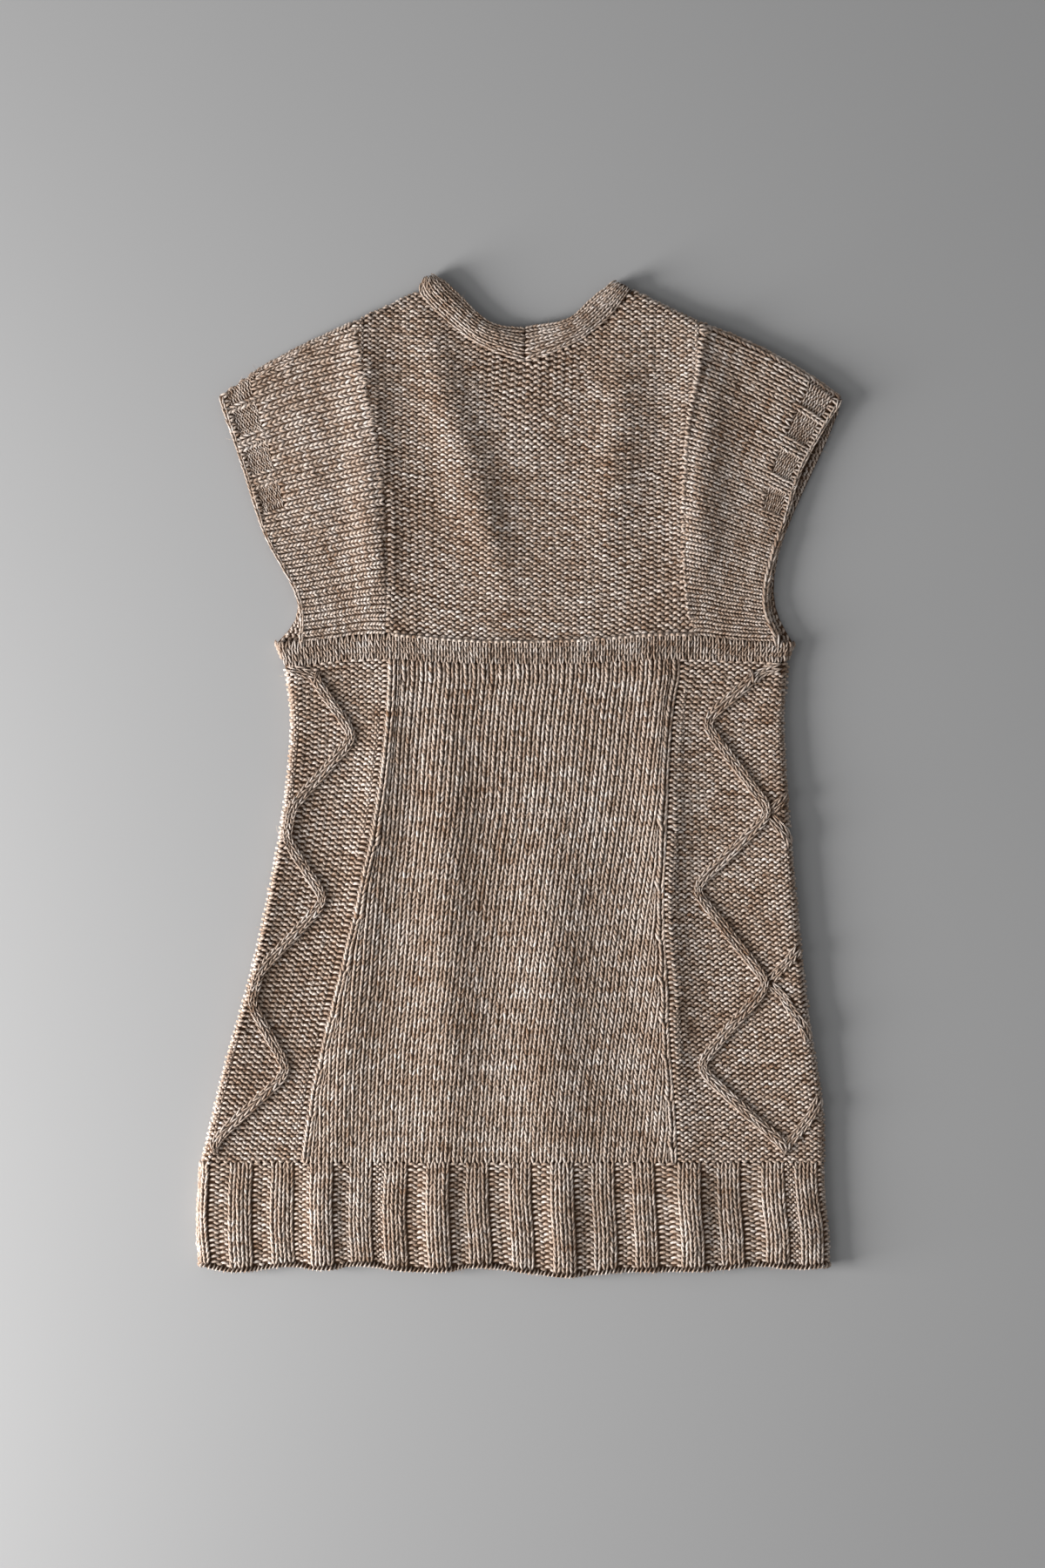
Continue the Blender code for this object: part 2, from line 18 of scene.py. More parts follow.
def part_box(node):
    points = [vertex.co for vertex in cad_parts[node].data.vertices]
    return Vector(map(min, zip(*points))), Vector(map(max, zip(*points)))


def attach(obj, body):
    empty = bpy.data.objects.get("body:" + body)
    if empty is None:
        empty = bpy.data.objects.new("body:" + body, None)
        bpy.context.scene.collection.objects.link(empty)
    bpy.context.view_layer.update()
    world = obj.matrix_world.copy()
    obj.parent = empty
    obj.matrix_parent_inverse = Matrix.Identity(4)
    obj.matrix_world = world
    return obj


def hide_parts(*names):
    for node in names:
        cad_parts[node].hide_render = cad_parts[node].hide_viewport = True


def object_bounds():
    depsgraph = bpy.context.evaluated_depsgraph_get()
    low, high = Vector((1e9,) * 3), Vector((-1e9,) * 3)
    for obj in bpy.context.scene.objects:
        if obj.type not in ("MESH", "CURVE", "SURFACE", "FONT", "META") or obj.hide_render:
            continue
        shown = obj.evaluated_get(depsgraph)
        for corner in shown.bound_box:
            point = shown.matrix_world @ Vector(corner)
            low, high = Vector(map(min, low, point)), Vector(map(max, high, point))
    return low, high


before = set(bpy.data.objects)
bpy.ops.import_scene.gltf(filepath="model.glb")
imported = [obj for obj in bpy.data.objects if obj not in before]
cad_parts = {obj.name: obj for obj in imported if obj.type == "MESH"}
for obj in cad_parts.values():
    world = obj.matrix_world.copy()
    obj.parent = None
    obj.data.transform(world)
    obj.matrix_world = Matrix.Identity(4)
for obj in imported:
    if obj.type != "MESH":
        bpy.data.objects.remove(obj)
solid_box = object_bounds()

# === The table, the light and the view ===
# The dress lies on a smooth pale table, which isn't part of it. A soft low window close to its left
# picks out the stitches, a larger and higher one fills them, and the room gives the rest. The eye is
# straight above.

VIEW_HEIGHT = 2.6  # of the eye above the table
VIEW_WIDTH, VIEW_LENGTH = 0.888, 1.332  # of the table that is seen
VIEW_SHIFT = (0.0018, -0.0063)  # of the view's middle from the dress's
FILM_HEIGHT = 36.0  # millimetres
TABLE_SIZE, TABLE_DROP = 12.0, 0.0004  # its width, and how far under the cloth it lies
TABLE_GREY = (0.392, 0.392, 0.393)
WINDOWS = {  # where each stands, how wide it is, and its power
    "near_window": ((-2.1, -0.60, 0.62), 0.95, 117.0),
    "far_window": ((-2.6, -0.9, 2.6), 1.6, 23.0),
}
WINDOW_TINT = (1.0, 0.99, 0.985)
ROOM_LIGHT = (0.97, 0.985, 1.0, 1.0)
ROOM_STRENGTH = 0.27


def feed(tree, socket, value):
    """Sets a socket to a value, or links another node's socket to it."""
    if isinstance(value, bpy.types.NodeSocket):
        tree.links.new(value, socket)
    else:
        socket.default_value = value


def add_node(tree, kind, inputs=None, **settings):
    """A node with its settings, and with its sockets fed."""
    node = tree.nodes.new(kind)
    for name, value in settings.items():
        setattr(node, name, value)
    for name, value in (inputs or {}).items():
        feed(tree, node.inputs[name], value)
    return node


def result(tree, kind, inputs=None, **settings):
    """The first output of a new node."""
    return add_node(tree, kind, inputs, **settings).outputs[0]


def object_place(tree):
    return add_node(tree, "ShaderNodeTexCoord").outputs["Object"]


def noise(tree, scale, detail=2.0, vector=None):
    """Noise over a vector, or over Object coordinates."""
    vector = object_place(tree) if vector is None else vector
    inputs = {"Vector": vector, "Scale": scale, "Detail": detail}
    return result(tree, "ShaderNodeTexNoise", inputs)


def new_material(name, **sockets):
    """An empty node material: (material, tree, its Principled shader with these sockets set)."""
    material = bpy.data.materials.new(name)
    material.use_nodes = True
    tree = material.node_tree
    shader = tree.nodes["Principled BSDF"]
    for socket, value in sockets.items():
        shader.inputs[socket.replace("_", " ")].default_value = value
    return material, tree, shader


def colour_ramp(tree, factor, *stops):
    """A colour ramp through stops of (place, colour)."""
    ramp = add_node(tree, "ShaderNodeValToRGB", {"Fac": factor})
    elements = ramp.color_ramp.elements
    while len(elements) < len(stops):
        elements.new(0.5)
    for element, (place, colour) in zip(elements, stops):
        element.position = place
        element.color = (*colour, 1.0)
    return ramp.outputs["Color"]


def new_object(name, data):
    obj = bpy.data.objects.new(name, data)
    bpy.context.scene.collection.objects.link(obj)
    return obj


def table_material():
    material, tree, shader = new_material("pale_table", Roughness=0.62)
    dim, bright = (tuple(c * share for c in TABLE_GREY) for share in (0.985, 1.015))
    tone = colour_ramp(tree, noise(tree, 1.4), (0.3, dim), (0.7, bright))
    tree.links.new(tone, shader.inputs["Base Color"])
    return material


def set_the_table():
    mesh = bmesh.new()
    bmesh.ops.create_grid(mesh, x_segments=2, y_segments=2, size=TABLE_SIZE / 2)
    data = bpy.data.meshes.new("table")
    mesh.to_mesh(data)
    mesh.free()
    data.materials.append(table_material())
    table = new_object("table", data)
    table.location.z = -TABLE_DROP

    middle = (solid_box[0] + solid_box[1]) / 2
    camera = bpy.data.cameras.new("camera")
    camera.sensor_fit = "VERTICAL"
    camera.sensor_height = FILM_HEIGHT
    camera.lens = FILM_HEIGHT * VIEW_HEIGHT / VIEW_LENGTH
    eye = new_object("camera", camera)
    eye.location = (middle.x + VIEW_SHIFT[0], middle.y + VIEW_SHIFT[1], VIEW_HEIGHT)
    bpy.context.scene.camera = eye

    for name, (place, size, power) in WINDOWS.items():
        light = bpy.data.lights.new(name, "AREA")
        light.shape = "SQUARE"
        light.size = size
        light.energy = power
        light.color = WINDOW_TINT
        window = new_object(name, light)
        window.location = place
        window.rotation_euler = (-Vector(place)).to_track_quat("-Z", "Y").to_euler()

    world = bpy.data.worlds.new("room")
    world.use_nodes = True
    sky = world.node_tree.nodes["Background"]
    sky.inputs["Color"].default_value = ROOM_LIGHT
    sky.inputs["Strength"].default_value = ROOM_STRENGTH
    bpy.context.scene.world = world
    bpy.context.scene.view_settings.view_transform = "Standard"


set_the_table()

# === The under layer: the front of the dress ===
# The front yoke and the front skirt panel lie face down on the table. They are plain stocking stitch
# in the same heathered yarn, seamed to the pieces beside them, and nothing of them shows but edges.

LIGHT_FIBRE = (0.90, 0.81, 0.74)
MID_FIBRE = (0.53, 0.405, 0.315)
DARK_FIBRE = (0.25, 0.135, 0.070)
PAINTED_SHADE = (0.085, 0.034, 0.012)  # painted shade: the dark colour painted on yarn where it goes into the cloth, and between stitches, for the shade that falls there
STREAKS = 55.0  # of light and dark fibres to a metre of yarn
WALE, COURSE = 0.0067, 0.00437  # one stitch of the plain knitting: its width and its height
RIM_CREASE, RIM_ANGLE = 0.9, 1.0  # how square a wall's rims stay, and the angle that makes a rim


def new_group(kind, name, inputs, output):
    """A node group, with what its input node puts out and what its output node takes.

    Each of its sockets is a name, its kind and, for an input, perhaps its value.
    """
    tree = bpy.data.node_groups.new(name, kind)
    for direction, sockets in (("INPUT", inputs), ("OUTPUT", (output,))):
        for title, sort, *value in sockets:
            socket = tree.interface.new_socket(title, in_out=direction, socket_type="NodeSocket" + sort)
            if value:
                socket.default_value = value[0]
    given, out = tree.nodes.new("NodeGroupInput"), tree.nodes.new("NodeGroupOutput")
    return tree, given.outputs, out.inputs


def math_node(tree, operation, a, b=0.0, clamp=False):
    return result(tree, "ShaderNodeMath", {0: a, 1: b}, operation=operation, use_clamp=clamp)


def times(tree, a, b):
    return math_node(tree, "MULTIPLY", a, b)


def axes_of(tree, vector=None):
    """The X, Y and Z of a vector, or of Object coordinates."""
    vector = object_place(tree) if vector is None else vector
    return add_node(tree, "ShaderNodeSeparateXYZ", {"Vector": vector}).outputs


def heather_group():
    """The colour of heathered yarn: light and dark fibres mixed in each strand, in cloudy patches.

    Along is a coordinate on the yarn, in metres, and Row tells one row of knitting from the next.
    """
    inputs = (("Along", "Float", 0.0), ("Row", "Float", 0.0), ("Shade", "Float", 0.5))
    tree, given, out = new_group("ShaderNodeTree", "Heather", inputs, ("Color", "Color"))
    along = times(tree, given["Along"], STREAKS)
    on_yarn = result(tree, "ShaderNodeCombineXYZ", {"X": along, "Y": given["Row"]})
    streaks = noise(tree, 1.0, vector=on_yarn)
    fibres, clouds = noise(tree, 900.0), noise(tree, 22.0, 3.0)
    tone = 0.0
    for part, share in ((streaks, 0.90), (clouds, 0.45), (fibres, 0.80), (given["Shade"], 0.24)):
        tone = math_node(tree, "ADD", tone, times(tree, part, share))
    tone = math_node(tree, "SUBTRACT", tone, 0.69, clamp=True)
    colour = colour_ramp(tree, tone, (0.12, DARK_FIBRE), (0.45, MID_FIBRE), (0.85, LIGHT_FIBRE))
    tree.links.new(colour, out["Color"])
    return tree


def stocking_group():
    """Flat knitting as a pattern: rows of V stitches read from Object coordinates.

    Height is 1 on the yarn and 0 between stitches.
    """
    inputs = (("Wale", "Float", WALE), ("Course", "Float", COURSE))
    tree, given, out = new_group("ShaderNodeTree", "Stocking Stitch", inputs, ("Height", "Float"))
    axes = axes_of(tree)
    across = math_node(tree, "FRACT", math_node(tree, "DIVIDE", axes["X"], given["Wale"]))
    from_middle = math_node(tree, "ABSOLUTE", math_node(tree, "SUBTRACT", across, 0.5))
    up = math_node(tree, "DIVIDE", axes["Y"], given["Course"])
    slanted = math_node(tree, "SUBTRACT", up, times(tree, from_middle, 2.2))
    leg = math_node(tree, "SINE", times(tree, slanted, 2 * pi))
    leg = times(tree, math_node(tree, "ADD", leg, 1.0), 0.5)
    side = math_node(tree, "SINE", times(tree, from_middle, 2 * pi))
    height = times(tree, leg, math_node(tree, "POWER", side, 0.6))
    tree.links.new(height, out["Height"])
    return tree


HEATHER = heather_group()
STOCKING = stocking_group()


def mix_colours(tree, factor, a, b):
    inputs = {0: factor, 6: a, 7: b}
    return add_node(tree, "ShaderNodeMix", inputs, data_type="RGBA").outputs[2]


def paint(tree, shader, colour, height, strength, distance):
    """Gives a shader its colour, and bumps of a height."""
    bump = {"Height": height, "Strength": strength, "Distance": distance}
    tree.links.new(colour, shader.inputs["Base Color"])
    tree.links.new(result(tree, "ShaderNodeBump", bump), shader.inputs["Normal"])


def plain_cloth_material():
    """Knitting whose stitches are a pattern, with painted shade between them, for the cloth that lies
    underneath.
    """
    material, tree, shader = new_material(
        "plain_cloth", Roughness=0.9, Sheen_Weight=0.25, Sheen_Roughness=0.5
    )
    height = result(tree, "ShaderNodeGroup", node_tree=STOCKING)
    axes = axes_of(tree)
    heather = {"Along": axes["X"], "Row": math_node(tree, "DIVIDE", axes["Y"], COURSE)}
    colour = result(tree, "ShaderNodeGroup", heather, node_tree=HEATHER)
    # painted shade: the gaps between the pattern's stitches take the dark colour
    colour = mix_colours(tree, height, (*PAINTED_SHADE, 1.0), colour)
    paint(tree, shader, colour, height, 0.8, 0.001)
    return material


PLAIN_CLOTH = plain_cloth_material()


def made_plain(obj, modifier):
    """Gives an object the mesh that its modifier makes, and returns that mesh."""
    made = obj.evaluated_get(bpy.context.evaluated_depsgraph_get())
    made = bpy.data.meshes.new_from_object(made)
    obj.modifiers.remove(modifier)
    obj.data = made
    return made


def cloth_wall(name, node, material):
    """A piece's soft wall of cloth: its solid's form with the facets and rims rounded."""
    mesh = bmesh.new()
    mesh.from_mesh(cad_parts[node].data)
    bmesh.ops.remove_doubles(mesh, verts=mesh.verts[:], dist=0.00001)
    bmesh.ops.join_triangles(
        mesh, faces=mesh.faces[:], angle_face_threshold=0.7, angle_shape_threshold=1.2
    )
    crease = mesh.edges.layers.float.new("crease_edge")
    for edge in mesh.edges:
        edge[crease] = RIM_CREASE if edge.calc_face_angle(0.0) > RIM_ANGLE else 0.0
    data = bpy.data.meshes.new(name)
    mesh.to_mesh(data)
    mesh.free()
    wall = new_object(name, data)
    rounding = wall.modifiers.new("rounding", "SUBSURF")
    rounding.levels = rounding.render_levels = 1
    rounded = made_plain(wall, rounding)
    rounded.materials.clear()
    rounded.materials.append(material)
    rounded.shade_smooth()
    return wall


def declare_cloth(wall, node):
    """Hangs the cloth on the root body, and hides the solid it stands for."""
    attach(wall, "root")
    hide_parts(node)


for node in ("front_yoke", "skirt_front_panel"):
    declare_cloth(cloth_wall(node + "_cloth", node, PLAIN_CLOTH), node)

# === The skirt's back panel ===
# The centre of the skirt is plain knitting, right side out, worked upwards from the hem. Its wales
# are set closer as it narrows to the band, and it is seamed to a gore on each side.

KNIT, SKEW, PURL, ROPE, RIDGE, EDGE = range(6)  # the kinds of stitch
# The arcs of yarn that show of each kind of stitch: the kind, the arc's girth in yarns, and its start,
# middle and end. Those are in shares of the stitch's width and height from its middle, and then in
# millimetres up. A knit stitch shows its two legs, and a purl one its head and half the loop beside.
KNIT_LEGS = (
    (1.06, ((-0.40, 0.86, -0.6), (-0.26, 0.05, 2.5), (-0.12, -0.76, 0.0))),
    (0.99, ((0.40, 0.86, -0.6), (0.26, 0.05, 2.2), (0.13, -0.76, -0.1))),
)
ARCS = (
    *((KNIT, *leg) for leg in KNIT_LEGS),
    (SKEW, 1.14, ((-0.40, 0.84, -0.7), (-0.24, 0.03, 2.6), (-0.10, -0.80, 0.0))),
    (SKEW, 0.94, ((0.36, 0.88, -0.1), (0.28, 0.00, 1.9), (0.20, -0.88, 0.0))),
    (PURL, 1.14, ((-0.44, 0.03, -1.0), (0.00, 0.62, 3.2), (0.44, 0.03, -1.0))),
    (PURL, 1.10, ((0.17, -0.04, -1.1), (0.50, -0.60, 3.0), (0.83, -0.04, -1.1))),
    (ROPE, 1.04, ((-0.46, 0.80, -0.6), (-0.27, 0.05, 2.7), (-0.02, -0.72, 0.0))),
    (ROPE, 0.98, ((0.46, 0.80, -0.6), (0.27, 0.05, 2.4), (0.03, -0.72, -0.1))),
    *((RIDGE, *leg) for leg in KNIT_LEGS),
    (RIDGE, 1.20, ((-0.48, 0.26, 0.0), (0.00, 0.66, 3.0), (0.48, 0.26, 0.0))),
    (EDGE, 0.90, ((-0.46, -0.50, -0.4), (0.04, 0.00, 2.2), (0.46, 0.50, -0.4))),
)
STITCH_SEGMENTS, STITCH_SIDES = 4, 3
YARN = 0.0023  # thickness of the yarn
UPPER = 0.0038  # what lies higher than this belongs to the upper layer
ROLL = 0.0037  # radius of the cloth's roll over a fold
DOWN = Vector((0, 0, -1))
SKY = 0.1  # height that rays are cast down from
UPPER_GUESS, UNDER_GUESS, MISSED = 0.0068, 0.0024, 0.007  # heights to look near, off the cloth
STANDOFF = 0.002  # of the places that are guessed beside a roll, from its middle line
SLIM = 0.4  # a wale narrower than this many wales isn't knitted
EDGE_SLACK = 0.0012  # how far past a piece's rim a stitch may still sit
WRAP = 0.0088  # how far past a fold's crest the stitches go on
TURN = 0.0135  # length of the whole roll over a fold
FIBRE_WIDTH = 0.00017
PAINTED_SHADE_TONES = (0.062, 0.028, 0.012), (0.130, 0.068, 0.034)  # painted shade: the dark browns of the cloth between the stitches, for the shade that falls there


def named(tree, name, data_type="FLOAT_VECTOR"):
    return result(tree, "GeometryNodeInputNamedAttribute", {"Name": name}, data_type=data_type)


def shown_socket(sockets, name):
    """A node's socket by name, of the kind its settings show."""
    return [socket for socket in sockets if socket.enabled and socket.name == name][0]


def chance(tree, seed, low, high, offset, data_type="FLOAT_VECTOR"):
    """A random value for each point, between low and high."""
    node = add_node(tree, "FunctionNodeRandomValue", data_type=data_type)
    seed = math_node(tree, "ADD", seed, float(offset))
    for name, value in (("Min", low), ("Max", high), ("Seed", seed)):
        feed(tree, shown_socket(node.inputs, name), value)
    return shown_socket(node.outputs, "Value")


def compared(tree, data_type, operation, a, b):
    node = add_node(tree, "FunctionNodeCompare", data_type=data_type, operation=operation)
    feed(tree, shown_socket(node.inputs, "A"), a)
    feed(tree, shown_socket(node.inputs, "B"), b)
    return node.outputs[0]


def stored(tree, geometry, name, value, domain="POINT"):
    """The geometry with a number kept on it under a name."""
    kept = {"Geometry": geometry, "Name": name}
    node = add_node(tree, "GeometryNodeStoreNamedAttribute", kept, data_type="FLOAT", domain=domain)
    feed(tree, shown_socket(node.inputs, "Value"), value)
    return node.outputs[0]


def on_cell(tree, turn):
    """The rotation that stands a thing on its cell of the net, and then turns it in itself."""
    axes = {"Primary Axis": named(tree, "up"), "Secondary Axis": named(tree, "wale")}
    facing = result(tree, "FunctionNodeAxesToRotation", axes, primary_axis="Z", secondary_axis="Y")
    turn = result(tree, "FunctionNodeEulerToRotation", {"Euler": turn})
    both = {"Rotation": facing, "Rotate By": turn}
    return result(tree, "FunctionNodeRotateRotation", both, rotation_space="LOCAL")


def yarn_arc_group():
    """An arc of yarn in each cell of a net of stitches, full in the middle and tucked in at the ends.

    The net's points carry up, wale, size, course and kind. Uneven is how much the arcs differ.
    """
    ends = [(name, "Vector") for name in ("Start", "Middle", "End")]
    inputs = [("Net", "Geometry"), ("Kind", "Int"), *ends]
    inputs += [("Girth", "Float"), ("Uneven", "Float"), ("Seed", "Int")]
    tree, given, out = new_group("GeometryNodeTree", "Yarn Arc", inputs, ("Arcs", "Geometry"))

    path = {"Resolution": STITCH_SEGMENTS, **{name: given[name] for name, kind in ends}}
    path = result(tree, "GeometryNodeCurveQuadraticBezier", path)
    share = result(tree, "GeometryNodeSplineParameter")
    # along and around say where on the arc a point lies, for the yarn's painted shade
    path = {"Curve": stored(tree, path, "along", share)}
    bulge = math_node(tree, "SINE", times(tree, share, pi))
    bulge = math_node(tree, "ADD", times(tree, bulge, 0.4), 0.62)
    arch = {"Resolution": STITCH_SIDES + 1, "Radius": 0.5}
    arch.update({"Start Angle": radians(155), "Sweep Angle": radians(230)})
    arch = result(tree, "GeometryNodeCurveArc", arch)
    arc = {
        "Curve": result(tree, "GeometryNodeSetCurveNormal", path, mode="Z_UP"),
        "Profile Curve": stored(tree, arch, "around", share),
        "Scale": times(tree, bulge, given["Girth"]),
    }

    def differing(most, offset):
        """A random vector for each arc, up to most either way, scaled by Uneven."""
        least = tuple(-value for value in most)
        vector = {0: chance(tree, given["Seed"], least, most, offset), "Scale": given["Uneven"]}
        return result(tree, "ShaderNodeVectorMath", vector, operation="SCALE")

    swell = {0: differing((0.06, 0.08, 0.18), 2), 1: (1.0, 1.0, 1.0)}
    size = {0: result(tree, "ShaderNodeVectorMath", swell, operation="ADD"), 1: named(tree, "size")}
    moved = {"Geometry": given["Net"], "Offset": differing((0.0002, 0.0003, 0.0003), 3)}
    arcs = {
        "Points": result(tree, "GeometryNodeSetPosition", moved),
        "Selection": compared(tree, "INT", "EQUAL", named(tree, "kind", "INT"), given["Kind"]),
        "Instance": result(tree, "GeometryNodeCurveToMesh", arc),
        "Rotation": on_cell(tree, differing((0.10, 0.10, 0.09), 1)),
        "Scale": result(tree, "ShaderNodeVectorMath", size, operation="MULTIPLY"),
    }
    arcs = result(tree, "GeometryNodeInstanceOnPoints", arcs)
    shade = chance(tree, given["Seed"], 0.0, 1.0, 4, "FLOAT")
    tree.links.new(stored(tree, arcs, "shade", shade, "INSTANCE"), out["Arcs"])
    return tree


def loose_fibre_group():
    """Loose fibres of the wool, thin curved ribbons that stand off some of a net's cells."""
    inputs = (("Net", "Geometry"), ("Share", "Float"), ("Seed", "Int"))
    tree, given, out = new_group("GeometryNodeTree", "Loose Fibres", inputs, ("Fibres", "Geometry"))
    bend = {"Start": (0, 0, 0.001), "Middle": (0.0016, 0.0005, 0.0058), "End": (0.0062, 0.0, 0.0036)}
    fibre = result(tree, "GeometryNodeCurveQuadraticBezier", {"Resolution": 4, **bend})
    # middle values, so that the yarn's painted shade at arcs' ends and flanks leaves the fibres alone
    for name in ("along", "around"):
        fibre = stored(tree, fibre, name, 0.5)
    line = {"Start": (-0.5, 0.0, 0.0), "End": (0.5, 0.0, 0.0)}
    line = result(tree, "GeometryNodeCurvePrimitiveLine", line)
    ribbon = {"Curve": fibre, "Profile Curve": line, "Scale": FIBRE_WIDTH}
    seed = given["Seed"]
    drawn = chance(tree, seed, 0.0, 1.0, 5, "FLOAT")
    fibres = {
        "Points": given["Net"],
        "Selection": compared(tree, "FLOAT", "LESS_THAN", drawn, given["Share"]),
        "Instance": result(tree, "GeometryNodeCurveToMesh", ribbon),
        "Rotation": on_cell(tree, chance(tree, seed, (-0.4, -0.4, 0.0), (0.4, 0.4, 2 * pi), 6)),
        "Scale": chance(tree, seed, (0.5, 0.5, 0.4), (1.3, 1.3, 1.0), 7),
    }
    tree.links.new(result(tree, "GeometryNodeInstanceOnPoints", fibres), out["Fibres"])
    return tree


def stitches_tree():
    """Every arc of every stitch of a net, of any kind, and its loose fibres, as one mesh."""
    inputs = [("Net", "Geometry"), ("Girth", "Float", 1.0), ("Uneven", "Float", 0.95)]
    inputs += [("Loose", "Float", 0.3), ("Seed", "Int", 0), ("Material", "Material")]
    tree, given, out = new_group("GeometryNodeTree", "Stitches", inputs, ("Stitches", "Geometry"))
    joined = tree.nodes.new("GeometryNodeJoinGeometry")
    arc_group, fibre_group = yarn_arc_group(), loose_fibre_group()
    for i, (kind, thickness, path) in enumerate(ARCS):
        arc = {"Net": given["Net"], "Kind": kind, "Uneven": given["Uneven"]}
        for place, (x, y, z) in zip(("Start", "Middle", "End"), path):
            arc[place] = (x * WALE, y * COURSE, z / 1000)
        arc["Girth"] = times(tree, given["Girth"], thickness * YARN)
        arc["Seed"] = math_node(tree, "ADD", given["Seed"], 10.0 * i)
        arcs = result(tree, "GeometryNodeGroup", arc, node_tree=arc_group)
        tree.links.new(arcs, joined.inputs[0])
    loose = {"Net": given["Net"], "Share": given["Loose"], "Seed": given["Seed"]}
    fibres = result(tree, "GeometryNodeGroup", loose, node_tree=fibre_group)
    tree.links.new(fibres, joined.inputs[0])
    whole = result(tree, "GeometryNodeRealizeInstances", {"Geometry": joined.outputs[0]})
    smooth = result(tree, "GeometryNodeSetShadeSmooth", {"Geometry": whole})
    coloured = {"Geometry": smooth, "Material": given["Material"]}
    tree.links.new(result(tree, "GeometryNodeSetMaterial", coloured), out["Stitches"])
    return tree


STITCHES = stitches_tree()


def yarn_material():
    """Heathered wool yarn: each arc has its own random tone, and painted shade darkens its ends and
    flanks.
    """
    material, tree, shader = new_material(
        "heathered_yarn", Roughness=0.85, Sheen_Weight=0.3, Sheen_Roughness=0.45
    )

    def attribute(name, output="Fac"):
        return add_node(tree, "ShaderNodeAttribute", attribute_name=name).outputs[output]

    course = axes_of(tree, attribute("course", "Vector"))
    heather = {"Along": course["X"], "Row": course["Y"], "Shade": attribute("shade")}
    colour = result(tree, "ShaderNodeGroup", heather, node_tree=HEATHER)
    # painted shade: darker towards an arc's ends, where it dives into the cloth, and towards its flanks
    for place, power, most in ((attribute("along"), 2.2, 0.87), (attribute("around"), 2.0, 0.85)):
        from_middle = math_node(tree, "ABSOLUTE", math_node(tree, "SUBTRACT", place, 0.5))
        painted_shade_share = math_node(tree, "POWER", times(tree, from_middle, 2.0), power)
        painted_shade_share = times(tree, painted_shade_share, most)
        colour = mix_colours(tree, painted_shade_share, colour, (*PAINTED_SHADE, 1.0))
    paint(tree, shader, colour, noise(tree, 1500.0), 0.35, 0.0005)
    return material


def painted_shade_ground_material():
    """The cloth under the stitches, which shows between them, in dark browns that are painted shade."""
    material, tree, shader = new_material("painted_shade_ground", Roughness=1.0)
    cloud = noise(tree, 260.0, 3.0)
    colour = colour_ramp(tree, cloud, (0.3, PAINTED_SHADE_TONES[0]), (0.75, PAINTED_SHADE_TONES[1]))
    paint(tree, shader, colour, cloud, 0.6, 0.001)
    return material


YARN_FINISH = yarn_material()
PAINTED_SHADE_GROUND = painted_shade_ground_material()


def points_of(mesh):
    points = np.empty(len(mesh.vertices) * 3)
    mesh.vertices.foreach_get("co", points)
    return points.reshape(-1, 3)


def laid_cloth(name, node):
    """A piece's wall of cloth, with what laying stitches on it needs: points, edges, a tree for rays."""
    wall = cloth_wall(name, node, PAINTED_SHADE_GROUND)
    mesh = wall.data
    points = points_of(mesh)
    edges = np.empty(len(mesh.edges) * 2, int)
    mesh.edges.foreach_get("vertices", edges)
    faces = [polygon.vertices[:] for polygon in mesh.polygons]
    return {
        "wall": wall,
        "node": node,
        "points": points,
        "edges": edges.reshape(-1, 2),
        "tree": BVHTree.FromPolygons(points.tolist(), faces),
        "low": points[:, 1].min(),
        "high": points[:, 1].max(),
    }


def cut(surface, start, direction, layer="upper"):
    """Cuts a layer upright through start, along direction: how far off its two ends are."""
    flat, height = surface["points"][:, :2] - start, surface["points"][:, 2]
    offset, along = flat @ (-direction[1], direction[0]), flat @ np.array(direction)
    a, b = surface["edges"].T
    crossing = (offset[a] > 0) != (offset[b] > 0)
    a, b = a[crossing], b[crossing]
    share = offset[a] / (offset[a] - offset[b])
    reached = along[a] + share * (along[b] - along[a])
    above = height[a] + share * (height[b] - height[a]) > UPPER
    reached = reached[above == (layer == "upper")]
    return (reached.min(), reached.max()) if len(reached) else (np.nan, np.nan)


def edge_curve(places, values):
    """A function through measured places, steady beyond them."""
    known = ~np.isnan(values)
    return lambda place: np.interp(place, np.array(places)[known], np.array(values)[known])


def ends_along(axis, surface, start, end, count=60, layer="upper"):
    """A layer's two ends along an axis, as functions of the place from start to end on the other."""
    places = np.linspace(start, end, count)
    along, across = np.eye(2)[axis], np.eye(2)[1 - axis]
    ends = [cut(surface, place * across, along, layer) for place in places]
    return [edge_curve(places, values) for values in zip(*ends)]


level_cuts = partial(ends_along, 0)  # left and right ends at each height y
upright_cuts = partial(ends_along, 1)  # foot and head at each place x


def fold_line(surface, outward, start, end, count=50):
    """A fold of the cloth that faces outward, between two places beside it.

    It gives a function of a place: how far beyond the fold's crest it lies, measured outwards.
    """
    outward = np.array(outward) / norm(outward)
    along = np.array((-outward[1], outward[0]))
    distances = np.linspace(*sorted((np.dot(start, along), np.dot(end, along))), count)[1:-1]
    reach = np.array([cut(surface, distance * along, outward)[1] for distance in distances])
    crest = edge_curve(distances, reach - ROLL)

    def beyond(x, y):
        place = np.array((x, y))
        return place @ outward - crest(place @ along)

    beyond.outward = outward
    return beyond


